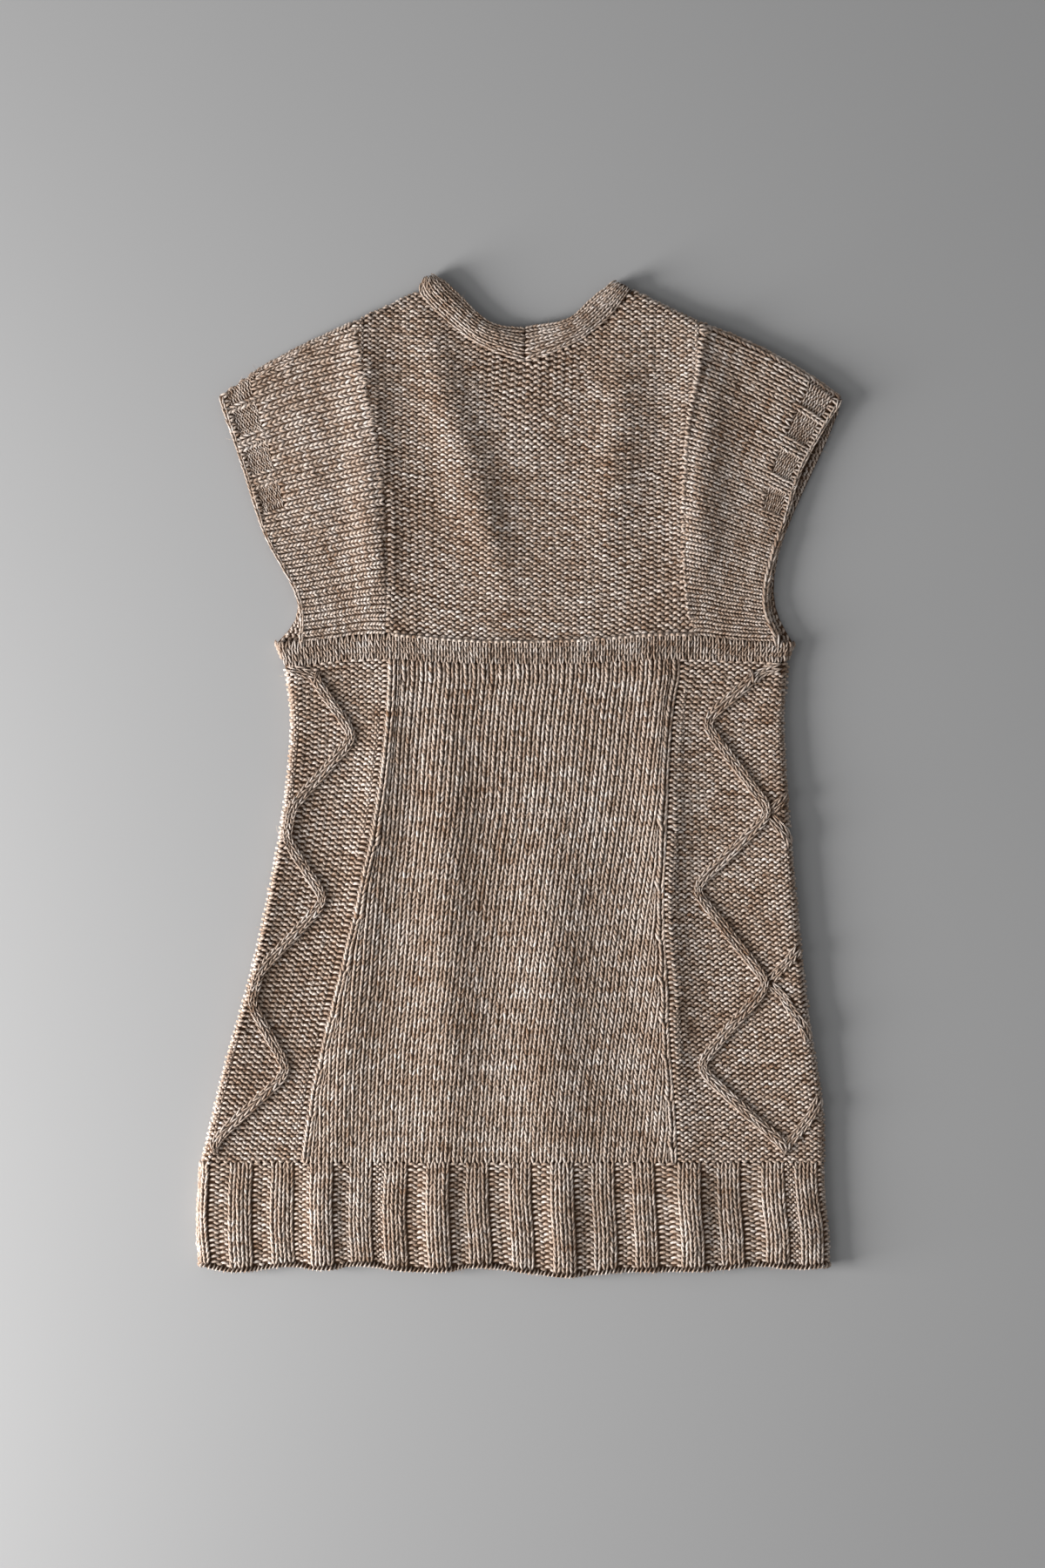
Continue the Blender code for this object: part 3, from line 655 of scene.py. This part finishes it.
def settle(surface, x, y, folds, slack, layer="upper"):
    """A point of the cloth's outer face for a place on the spread-out piece, and whether it is there.

    Past the crest of a fold, the place goes on round the roll.
    """
    tree = surface["tree"]
    for beyond in folds:
        distance = beyond(x, y)
        if distance > 0:
            crest = np.array((x, y)) - beyond.outward * distance
            top = tree.ray_cast(Vector((*crest, SKY)), DOWN)[0]
            if top is None:
                return Vector((x, y, MISSED)), False
            turn = pi * min(distance / TURN, 0.8)
            reach = (ROLL + STANDOFF) * sin(turn)
            level = top.z / 2 * (1 + cos(turn)) + STANDOFF * cos(turn)
            guess = Vector((*(crest + beyond.outward * reach), level))
            return tree.find_nearest(guess)[0], distance < WRAP
    hit = tree.ray_cast(Vector((x, y, SKY)), DOWN)[0]
    if layer == "under":
        return (hit, hit.z < UPPER) if hit else (Vector((x, y, UNDER_GUESS)), False)
    if hit is not None and hit.z > UPPER:
        return hit, True
    near = tree.find_nearest(Vector((x, y, UPPER_GUESS)))[0]
    return Vector((x, y, near.z)), (near.xy - Vector((x, y))).length < slack


def wale_weights(counts, left):
    """How wide each wale is in each row, in whole wales. New ones come in beside the edge wales.

    left is the share of them that come in at the left side.
    """
    fewest = int(counts.min())
    sides = []
    for share in (left, 1 - left):
        new = (counts - fewest) * share
        sides.append([np.clip(new - k, 0.0, 1.0) for k in range(int(np.ceil(new.max())))])
    whole = [np.ones(len(counts))]
    columns = whole + sides[0][::-1] + whole * (fewest - 2) + sides[1] + whole
    return np.stack(columns, axis=1)


def distance_between(plan, start, end, steps=24):
    """Length on the spread-out piece from one (across, share) to another."""
    path = [plan(*(np.array(start) + (np.array(end) - start) * t)) for t in np.linspace(0, 1, steps)]
    return norm(np.diff(path, axis=0), axis=1).sum()


def lay_net(
    surface, plan, rows, wale=WALE, folds=(), weights=None, new_at_left=0.5, wander=0.0003, seed=1,
    slack=EDGE_SLACK, layer="upper", **fields
):
    """The cells of a panel's stitches, on its surface: arrays of rows by wales.

    plan(across, share) is a place on the spread-out piece: across a row, and its share of the way up
    the wales. fields are more values for the cells: kind, girth or lift.
    """
    shares = (np.arange(rows) + 0.5) / rows
    whole = np.array([distance_between(plan, (0.0, share), (1.0, share)) for share in shares])
    wale = np.broadcast_to(wale, rows)
    if weights is None:
        weights = wale_weights(whole / wale, new_at_left)
    weights = np.broadcast_to(weights, (rows, np.shape(weights)[-1]))
    slim = np.where(weights > SLIM, 0.0, weights)  # the edge wales take these in
    half = weights.shape[1] // 2
    weights = weights - slim
    weights[:, 0] += slim[:, :half].sum(axis=1)
    weights[:, -1] += slim[:, half:].sum(axis=1)
    total = weights.sum(axis=1, keepdims=True)
    places = (np.cumsum(weights, axis=1) - weights / 2) / total
    rng = np.random.default_rng(seed)
    phases = rng.uniform(0, 2 * pi, 6)
    row_at, wale_at = np.mgrid[0:rows, 0 : weights.shape[1]]
    drift = (  # soft waves, so that no two rows run alike
        np.sin(row_at * 0.11 + wale_at * 0.31 + phases[0])
        + np.sin(row_at * 0.23 - wale_at * 0.17 + phases[1])
        + 0.6 * np.sin(row_at * 0.47 + wale_at * 0.71 + phases[2])
    )
    sway = np.sin(row_at * 0.9 + wale_at * 0.13 + phases[3]) * 0.04
    net = {key: np.zeros(weights.shape + (3,)) for key in ("centre", "wale", "up")}
    net["width"] = weights / total * whole[:, None]
    net["height"] = np.full(weights.shape, COURSE)
    net["keep"] = np.zeros(weights.shape, bool)
    net["place"], net["share"] = places, np.broadcast_to(shares[:, None], weights.shape)
    course = (places * whole[:, None] + row_at * 0.31, row_at * 1.7 + seed * 40.0, row_at * 0.0)
    net["course"] = np.stack(course, axis=2)
    for key, plain in (("kind", KNIT), ("girth", 1.0), ("lift", 0.0)):
        net[key] = np.array(np.broadcast_to(fields.get(key, plain), weights.shape))
    facing = 0
    for row, column in np.argwhere(weights):
        cell = row, column
        place = places[cell] + drift[cell] * wander / whole[row]
        share = shares[row] + sway[cell] / rows
        point, there = settle(surface, *plan(place, share), folds, slack, layer)
        if not there:
            continue
        side, step = wale[row] / whole[row], 1.0 / rows
        found = [
            settle(surface, *plan(place + right, share + above), folds, slack, layer)[0]
            for right, above in ((side, 0.0), (-side, 0.0), (0.0, step), (0.0, -step))
        ]
        across_way, along_way = found[0] - found[1], found[2] - found[3]
        across_way, along_way = (np.array(way) / norm(way) for way in (across_way, along_way))
        normal = np.cross(across_way, along_way)
        squareness = norm(normal)
        net["centre"][cell], net["wale"][cell], net["up"][cell] = point, along_way, normal / squareness
        net["width"][cell] *= squareness
        a, b = plan(place, share - step / 2), plan(place, share + step / 2)
        net["height"][cell] = np.hypot(a[0] - b[0], a[1] - b[1])
        net["keep"][cell] = True
        facing += normal[2]
    if facing < 0:
        net["up"] = -net["up"]
    return net


def make_stitches(name, nets, seed):
    """Lays the arcs of yarn of all the cells of some nets, and returns them as one plain mesh piece."""
    fields = {}
    for key in ("centre", "up", "wale", "width", "height", "kind", "girth", "lift", "course"):
        fields[key] = np.concatenate([net[key][net["keep"]] for net in nets])
    data = bpy.data.meshes.new(name)
    data.vertices.add(len(fields["kind"]))
    raised = fields["centre"] + fields["up"] * fields["lift"][:, None]
    data.vertices.foreach_set("co", raised.ravel())
    size = (fields["width"] / WALE, fields["height"] / COURSE, fields["girth"])
    fields["size"] = np.stack(size, axis=1)
    for key in ("up", "wale", "size", "course"):
        kept = data.attributes.new(key, "FLOAT_VECTOR", "POINT")
        kept.data.foreach_set("vector", fields[key].ravel())
    kept = data.attributes.new("kind", "INT", "POINT")
    kept.data.foreach_set("value", fields["kind"].astype(int))
    piece = new_object(name, data)
    yarn = piece.modifiers.new("stitches", "NODES")
    yarn.node_group = STITCHES
    given = {"Seed": seed, "Material": YARN_FINISH}
    for item in STITCHES.interface.items_tree:
        if item.in_out == "INPUT" and item.name in given:
            yarn[item.identifier] = given[item.name]
    made = made_plain(piece, yarn)
    made.name = name
    places = points_of(made)
    places[:, 2] = np.maximum(places[:, 2], 0.0)  # none goes through the table
    made.vertices.foreach_set("co", places.ravel())
    map_from_above(made)
    return piece


def map_from_above(mesh):
    """A UV map for baking: the piece seen from above, in one square."""
    flat = points_of(mesh)[:, :2]
    flat = (flat - flat.min(0)) / (flat.max(0) - flat.min(0)).max()
    corners = np.empty(len(mesh.loops), int)
    mesh.loops.foreach_get("vertex_index", corners)
    mesh.uv_layers.new(name="OFBake").data.foreach_set("uv", flat[corners].ravel())


def mix(a, b, share):
    return a + (b - a) * share


def finish_piece(piece, nets, seed):
    """Makes a piece's stitches and declares its cloth with them."""
    stitches = make_stitches(piece["node"] + "_stitches", nets, seed)
    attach(stitches, "root")
    declare_cloth(piece["wall"], piece["node"])


SKIRT_ROWS = 97
SEAM_LIFT, SEAM_GIRTH = 0.0005, 1.1  # of the wale that stands up beside the left seam
TOP_WAVE = 0.014  # the upper edge is wavy, so the sides are measured up to here below it
SIDE_INSET = 0.006  # the upper edge is measured this far in from the sides
SKEW_FROM, SKEW_SPREAD = 0.5, 0.25  # share of the way up past which a wale's stitches are skew
HEM_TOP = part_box("skirt_back_panel")[0].y

skirt = laid_cloth("skirt_back_cloth", "skirt_back_panel")


def panel_plan(surface, wrap_left=0.0, wrap_right=0.0):
    """The plan of a skirt piece: between its two sides, from the hem rib up to the band's lower edge.

    A wrap carries a side on round its fold.
    """
    top = surface["high"]
    left, right = level_cuts(surface, HEM_TOP + 0.001, top - TOP_WAVE)
    head = upright_cuts(surface, left(top) + SIDE_INSET, right(top) - SIDE_INSET)[1]

    def plan(across, share):
        y = mix(HEM_TOP, top, share)
        x = mix(left(y) - wrap_left, right(y) + wrap_right, across)
        return x, mix(HEM_TOP, head(x), share)

    return plan


skirt_wales = np.linspace(0.0067, 0.0075, SKIRT_ROWS)
skirt_net = lay_net(
    skirt, panel_plan(skirt), SKIRT_ROWS, wale=skirt_wales, new_at_left=0.45, wander=0.0002, seed=3
)
column_chance = np.random.default_rng(5).uniform(0.0, SKEW_SPREAD, skirt_net["share"].shape[1])
skirt_net["kind"][skirt_net["share"] > SKEW_FROM + column_chance] = SKEW
skirt_net["lift"][:, 0] = SEAM_LIFT
skirt_net["girth"][:, 0] = SEAM_GIRTH
finish_piece(skirt, [skirt_net], 11)

# === The side panels and their cables ===
# A gore of purl knitting runs from each back seam round the side fold to the front. A rope of knit
# stitches travels down it from side to side, raised on the purl ground it was knitted with.

CABLE_ROWS, ROPE_INSET = 92, 0.001
SEAM_WRAP, SEAM_SLACK = 0.0016, 0.0024  # how far a gore's stitches go on over its seam
STRAND_WIDTH, STRAND_PITCH, STRAND_LIFT = 0.0085, 0.0055, 0.0012
STRAND_CLEAR = 0.42  # share of its width within which it takes the purl stitches' place
STRANDS = {  # the paths of the short ropes that join the cable from the side fold
    "left": (((-0.1965, 0.0905), (-0.1880, 0.0890), (-0.1790, 0.0862), (-0.1735, 0.0830)),),
    "right": (
        ((0.2200, 0.0932), (0.2120, 0.0912), (0.2040, 0.0880), (0.1990, 0.0840)),
        ((0.2260, -0.0150), (0.2130, -0.0270)),
        ((0.2130, -0.0340), (0.2180, -0.0400), (0.2240, -0.0470), (0.2290, -0.0560)),
        ((0.2340, -0.1450), (0.2260, -0.1565), (0.2187, -0.1640), (0.2128, -0.1706)),
        ((0.2128, -0.1765), (0.2224, -0.186), (0.2298, -0.1972), (0.2387, -0.2098), (0.2440, -0.222)),
        ((0.2530, -0.272), (0.2460, -0.2875), (0.2387, -0.297), (0.2313, -0.306), (0.2260, -0.312)),
    ),
}


def run_along(path):
    """How far along a path each of its points is."""
    return np.concatenate([[0], np.cumsum(norm(np.diff(path, axis=0), axis=1))])


def side_fold(surface, outward, inset=0.001):
    """The fold along one side of a piece, measured between levels this far in from its ends."""
    start, end = (0.0, surface["low"] + inset), (0.0, surface["high"] - inset)
    return fold_line(surface, (outward, 0.0), start, end)


def strand_net(surface, path, folds, seed):
    """A short rope of knit stitches laid along a path, on top of the purl ground."""
    path = np.array(path)
    run = run_along(path)

    def on_path(reach):
        return np.array([np.interp(reach, run, path[:, i]) for i in (0, 1)])

    def plan(across, share):
        reach = np.clip(share, 0.02, 0.98) * run[-1]
        ahead = on_path(reach + 0.004) - on_path(reach - 0.004)
        ahead /= norm(ahead)
        square = np.array((-ahead[1], ahead[0]))
        beyond = share * run[-1] - reach
        return on_path(reach) + ahead * beyond + square * STRAND_WIDTH * (across - 0.5)

    rows = max(int(run[-1] / STRAND_PITCH), 2)
    return lay_net(
        surface, plan, rows, weights=np.ones(2), folds=folds, seed=seed, kind=ROPE, lift=STRAND_LIFT
    )


for side, outward, seed in (("left", -1, 21), ("right", 1, 31)):
    gore = laid_cloth("side_" + side + "_cloth", "side_panel_" + side)
    wraps = {"wrap_left": SEAM_WRAP, "wrap_right": SEAM_WRAP, "wrap_" + side: WRAP - ROLL}
    laid = {"folds": [side_fold(gore, outward)], "slack": SEAM_SLACK, "kind": PURL}
    gore_net = lay_net(gore, panel_plan(gore, **wraps), SKIRT_ROWS, wale=0.0065, seed=seed, **laid)
    strands = [
        strand_net(gore, path, laid["folds"], seed + 4 + i) for i, path in enumerate(STRANDS[side])
    ]
    for strand in strands:
        for place in strand["centre"].mean(axis=1):
            off = norm(gore_net["centre"] - place, axis=-1)
            gore_net["keep"] &= off > STRAND_WIDTH * STRAND_CLEAR
    finish_piece(gore, [gore_net, *strands], seed + 1)

    rope = laid_cloth("cable_" + side + "_cloth", "cable_" + side)
    low, high = rope["low"], rope["high"]
    rope_left, rope_right = level_cuts(rope, low + ROPE_INSET, high - ROPE_INSET, CABLE_ROWS)

    def rope_plan(across, share):
        y = mix(low, high, share)
        return mix(rope_left(y) + ROPE_INSET, rope_right(y) - ROPE_INSET, across), y

    rope_net = lay_net(
        rope, rope_plan, CABLE_ROWS, weights=np.ones(2), seed=seed + 2, kind=ROPE, lift=0.0002
    )
    finish_piece(rope, [rope_net], seed + 3)

# === The back yoke ===
# Purl knitting from the band to the neck, between the two armhole seams. Its rows bow up towards the
# armholes, and it goes over the shoulders to its seam on the front.

YOKE_ROWS = 71
YOKE_SPAN = -0.110, 0.140  # where its foot is measured, from side to side
YOKE_BOW = 0.014  # how far the rows rise from the middle to an armhole
BOW_FROM, BOW_FADE = 0.45, 0.3  # the bow fades on the way up, from here and over so much
PEAK_X, PEAK_WIDTH, PEAK_RISE = 0.008, 0.042, 0.013  # the rows peak under the neck's middle
PEAK_FROM, PEAK_FULL = 0.272, 0.345
YOKE_WRAP, YOKE_OVER = 0.002, 0.004  # how far the stitches go on past its sides and its top
FIRST_GIRTH, FOOT_TUCK = 1.1, 0.0014  # of the first row, which meets the band

yoke = laid_cloth("back_yoke_cloth", "back_yoke")


def farthest(surface, direction, side=0):
    """The piece's farthest point in a direction, in plan: on one side of the dress, or on both."""
    flat = surface["points"][:, :2]
    if side:
        flat = flat[flat[:, 0] * side > 0]
    return flat[(flat @ np.array(direction)).argmax()]


SHOULDERS = {"left": (-0.46, 0.888), "right": (0.46, 0.888)}  # the way each shoulder's fold faces
yoke_folds = [
    fold_line(yoke, SHOULDERS[side], farthest(yoke, (sign, 0.3), sign), farthest(yoke, (0, 1), sign))
    for side, sign in (("left", -1), ("right", 1))
]
yoke_left, yoke_right = farthest(yoke, (-1, 0))[0], farthest(yoke, (1, 0))[0]
yoke_foot = upright_cuts(yoke, *YOKE_SPAN)[0]


def yoke_plan(across, share):
    x = mix(yoke_left - YOKE_WRAP, yoke_right + YOKE_WRAP, across)
    side = abs(2 * across - 1) ** 3
    low = 1 - min(max((share - BOW_FROM) / BOW_FADE, 0.0), 1.0)
    y = mix(yoke_foot(x) - FOOT_TUCK, yoke["high"] + YOKE_OVER, share)
    peak = max(1 - abs(x - PEAK_X) / PEAK_WIDTH, 0.0)
    peak *= min(max((y - PEAK_FROM) / (PEAK_FULL - PEAK_FROM), 0.0), 1.0)
    return x, y + YOKE_BOW * side * low * min(share * 8, 1.0) + PEAK_RISE * peak


yoke_net = lay_net(
    yoke, yoke_plan, YOKE_ROWS, wale=0.0066, folds=yoke_folds, seed=41, slack=0.0022, kind=PURL
)
yoke_net["girth"][0] = FIRST_GIRTH
finish_piece(yoke, [yoke_net], 42)

# === The sleeves ===
# Cap sleeves of plain knitting, worked outwards from the armhole: the wales lie along the arm. The
# cuff has four sunk purl patches, and a chained edge that runs on down to the underarm.

SLEEVE_ROWS, SLEEVE_WALES = 28, 36
SLEEVE_HEIGHT = 0.26  # rough length of the way down, along the cuff
SEAM_ROW = {"left": (0.0005, 1.1), "right": (0.0014, 1.35)}  # lift and girth of the armhole's row
PATCHES = {  # middle of each purl patch, as a share of the way down
    "left": (0.084, 0.210, 0.346, 0.478),
    "right": (0.058, 0.176, 0.315, 0.456),
}
PATCH_HALF = {"left": 0.047, "right": 0.041}
PATCH_FROM, PATCH_TO = 0.79, 0.96  # where the patches lie on the way out
PATCH_ROWS, PATCH_MARGIN = 9, 0.006
CUFF_LIFT = 0.0004
SLEEVE_BOW = 0.005  # how far the rows' middles bow up, at the shoulder
ARM_TUCK = 0.0015  # how far the first row goes on over the armhole's seam
ARM_HOLD = 0.018  # below this much above its foot, the armhole's line goes straight down
TRIM = 0.002  # how far in from an edge's ends it is measured
CORNER = 0.014  # radius of the sleeve's inner corner
CUFF_RISE = {"left": 0.016, "right": 0.0}  # how far past the cuff's corner the wales start
CUFF_INSET = 0.985  # where the wales end on the way out
CHAINS = {  # the chain below the patches: where it ends, its width, pitch and height
    "left": (0.222, 0.0042, 0.0046, 0.0007),
    "right": (0.206, 0.0064, 0.0056, 0.0016),
}
EDGE_WIDTH, EDGE_LIFT = 0.0046, 0.0009  # of the finer chain above it
CHAIN_SLACK = 0.004

for side, outward, seed in (("left", -1, 51), ("right", 1, 61)):
    sleeve = laid_cloth("sleeve_" + side + "_cloth", "sleeve_" + side)
    cuff_corner, armhole_top = farthest(sleeve, (outward, 0)), farthest(sleeve, (0, 1))
    corner_y, top_y = cuff_corner[1], armhole_top[1]
    low = sleeve["low"]
    armhole, cuff = level_cuts(sleeve, low + 2 * TRIM, top_y - TRIM)[::outward]
    inner, outer = armhole(low + 0.02) + outward * CORNER, cuff(low + 0.01)
    foot = upright_cuts(sleeve, *sorted((inner, outer)))[0]
    fold = fold_line(sleeve, SHOULDERS[side], armhole_top, cuff_corner)
    armhole_foot, cuff_foot = foot(armhole(low + 0.02)), foot(cuff(low + 0.01))

    def sleeve_plan(across, share):
        extra = (WRAP - ROLL) / SLEEVE_HEIGHT
        down = max(across * (1 + extra) - extra, 0.0)
        over = max(extra - across * (1 + extra), 0.0) * SLEEVE_HEIGHT
        share *= CUFF_INSET
        arm_y = mix(top_y, armhole_foot, down)
        cuff_y = mix(corner_y + CUFF_RISE[side], cuff_foot, down)
        arm_x = armhole(max(arm_y, armhole_foot + ARM_HOLD)) - outward * ARM_TUCK
        x = mix(arm_x, cuff(cuff_y), share)
        y = mix(arm_y, cuff_y, share)
        bow = SLEEVE_BOW * sin(pi * min(share, 1.0)) * (1 - down) ** 2
        sag = (foot(x) - mix(armhole_foot, cuff_foot, share)) * down**4
        return x + SHOULDERS[side][0] * over, y + bow + sag + SHOULDERS[side][1] * over

    wales = {"weights": np.ones(SLEEVE_WALES), "wander": 0.0002}
    sleeve_net = lay_net(sleeve, sleeve_plan, SLEEVE_ROWS, folds=[fold], seed=seed, **wales)
    sleeve_net["lift"][0], sleeve_net["girth"][0] = SEAM_ROW[side]
    outside = sleeve_net["share"] > PATCH_FROM
    sleeve_net["lift"][outside] = CUFF_LIFT
    patch_nets = []
    for i, patch in enumerate(PATCHES[side]):
        half = PATCH_HALF[side]

        def patch_plan(across, share):
            way_out = mix(PATCH_FROM, PATCH_TO, share)
            reach = half + PATCH_MARGIN
            return sleeve_plan(mix(patch - reach, patch + reach, across), way_out)

        inside = abs(sleeve_net["place"] - patch) < half
        sleeve_net["keep"] &= ~(inside & outside & (sleeve_net["share"] < PATCH_TO))
        sunk = {"wale": 0.0052, "kind": PURL, "girth": 0.66, "lift": -0.0002}
        patch_nets.append(
            lay_net(sleeve, patch_plan, PATCH_ROWS, folds=[fold], seed=seed + 5 + i, **sunk)
        )

    def chain(start, end, rows, width, overhang, **laid):
        """A chain of knit stitches up the cuff, a share of its width overhanging the rim."""

        def plan(across, share):
            y = mix(start, end, share)
            return cuff(y) - outward * width * (overhang - across), y

        return lay_net(sleeve, plan, rows, weights=np.ones(1), slack=CHAIN_SLACK, **laid)

    joint, width, pitch, lift = CHAINS[side]
    rows = int((joint - cuff_foot) / pitch)
    laid = {"seed": seed + 3, "lift": lift, "girth": 1.1}
    chain_net = chain(cuff_foot - TRIM, joint, rows, width, 0.75, **laid)
    rows = int((corner_y - joint) / EDGE_WIDTH)
    laid = {"seed": seed + 20, "lift": EDGE_LIFT, "girth": 0.9}
    edge_net = chain(joint, corner_y - TRIM, rows, EDGE_WIDTH, 0.80, **laid)

    front_cuff = level_cuts(sleeve, low + TRIM, corner_y - TRIM, layer="under")[::outward][1]

    def front_plan(across, share):
        y = mix(low, corner_y, across)
        return mix(cuff(y) - outward * 0.006, front_cuff(y) - outward * 0.001, share), y

    under = {"layer": "under", "kind": PURL}
    front_net = lay_net(sleeve, front_plan, 4, wale=0.0060, seed=seed + 4, **under)
    nets = [sleeve_net, chain_net, edge_net, front_net, *patch_nets]
    finish_piece(sleeve, nets, seed + 1)

# === The band under the bust ===
# A ring of four rows of small knit stitches, picked up from the skirt. Its last row carries a ridge
# of purl heads where the yoke is joined on.

BAND_ROWS = 4
BAND_WIDTH = 0.42  # rough width of the band
RING_INSET = 0.011  # a ring's ends are wavy, so its sides are measured between levels this far in
RIDGE_FROM, RIDGE_TO, RIDGE_LIFT = -0.108, 0.146, 0.0006

band = laid_cloth("underbust_band_cloth", "underbust_band")


def ring_plan(surface):
    """The plan of a ring's back: between the crests of its two side folds, and from foot to head."""
    low, high = surface["low"], surface["high"]
    left, right = level_cuts(surface, low + RING_INSET, high - RING_INSET)
    foot, head = upright_cuts(surface, left(high) + ROLL, right(high) - ROLL, 90)

    def plan(across, share):
        y = mix(low, high, share)
        x = mix(left(y) + ROLL, right(y) - ROLL, across)
        return x, mix(foot(x), head(x), share)

    return plan


def wrapped(plan, low, high):
    """The plan taken past its two sides, from share low to share high of the way across."""
    return lambda across, share: plan(mix(low, high, across), share)


def ring_folds(surface):
    return [side_fold(surface, outward, RING_INSET) for outward in (-1, 1)]


band_net = lay_net(
    band,
    wrapped(ring_plan(band), -WRAP / BAND_WIDTH, 1 + WRAP / BAND_WIDTH),
    BAND_ROWS,
    wale=0.0050,
    folds=ring_folds(band),
    seed=71,
    girth=1.28,
)
last_row = band_net["centre"][-1, :, 0]
joined = (last_row > RIDGE_FROM) & (last_row < RIDGE_TO)
band_net["kind"][-1, joined] = RIDGE
band_net["lift"][-1, joined] = RIDGE_LIFT
finish_piece(band, [band_net], 72)

# === The hem rib ===
# A ring of rib: three raised knit wales and two sunk purl ones, unevenly spread as the cloth lies.
# Its cast-on edge is the dress's lower edge.

HEM_ROWS = 21
RIB_STARTS = (
    -0.030, 0.040, 0.107, 0.171, 0.235, 0.291, 0.360, 0.425,
    0.495, 0.563, 0.629, 0.695, 0.770, 0.834, 0.906, 0.961,
)
RIB_WIDTH = 0.038  # share of the way across that the knit wales take
RIB_END = 1.021
CAST_ON_FROM, CAST_ON_SHARE = -0.006, 0.055  # of the way up

hem = laid_cloth("hem_rib_cloth", "hem_rib")
rib_weights, rib_kinds = [], []
for start, following in zip(RIB_STARTS, RIB_STARTS[1:] + (RIB_END,)):
    rib_weights += [RIB_WIDTH / 3] * 3 + [(following - start - RIB_WIDTH) / 2] * 2
    rib_kinds += [KNIT] * 3 + [PURL] * 2
rib_weights = np.array(rib_weights)
hem_plan = wrapped(ring_plan(hem), RIB_STARTS[0], RIB_END)
hem_folds = ring_folds(hem)
rib = {"weights": rib_weights / rib_weights.mean(), "kind": rib_kinds}
hem_net = lay_net(hem, hem_plan, HEM_ROWS, folds=hem_folds, seed=81, **rib)
hem_net["keep"][0] = False  # the cast-on row takes its place


def cast_on_plan(across, share):
    return hem_plan(across, share * CAST_ON_SHARE + CAST_ON_FROM)


cast_on_net = lay_net(
    hem, cast_on_plan, 1, wale=0.0034, folds=hem_folds, seed=83, slack=0.003, kind=EDGE, girth=2.1
)
finish_piece(hem, [hem_net, cast_on_net], 82)

# === The neckbands ===
# Each half of the neckband is a rolled strip of plain knitting that runs along the neckline, from a
# seam at the centre back, over the shoulder to the centre front.

NECK_ROWS, NECK_WALES = 24, 5
NECK_CENTRE = (0.004, 0.450)  # rays from here cross the band squarely
NECK_SHIFT = 0.0008  # of the wales, towards that centre

for side, outward, seed in (("left", -1, 91), ("right", 1, 101)):
    neck = laid_cloth("neckband_" + side + "_cloth", "neckband_" + side)
    tip = neck["points"][neck["points"][:, 2] > UPPER]
    tip = tip[(tip[:, :2] @ np.array((outward * 0.8, 0.6))).argmax()]
    tip_angle = np.arctan2(tip[1] - NECK_CENTRE[1], (tip[0] - NECK_CENTRE[0]) * outward)
    angles = np.linspace(-pi / 2 + 0.01, tip_angle, 50)
    rays = [np.array((outward * cos(angle), sin(angle))) for angle in angles]
    spans = np.array([cut(neck, NECK_CENTRE, ray) for ray in rays])
    known = ~np.isnan(spans[:, 0])
    spans, rays, angles = spans[known], np.array(rays)[known], angles[known]
    run = run_along(NECK_CENTRE + rays * spans.mean(axis=1)[:, None])

    def neck_plan(across, share):
        angle = np.interp(share * run[-1], run, angles)
        near, far = (np.interp(angle, angles, spans[:, i]) for i in (0, 1))
        if share > 1:
            angle += (share - 1) * run[-1] / spans[-1].mean()
        reach = mix(far, near, across) - NECK_SHIFT
        return NECK_CENTRE[0] + outward * cos(angle) * reach, NECK_CENTRE[1] + sin(angle) * reach

    neck_net = lay_net(neck, neck_plan, NECK_ROWS, weights=np.ones(NECK_WALES), seed=seed)
    finish_piece(neck, [neck_net], seed + 1)
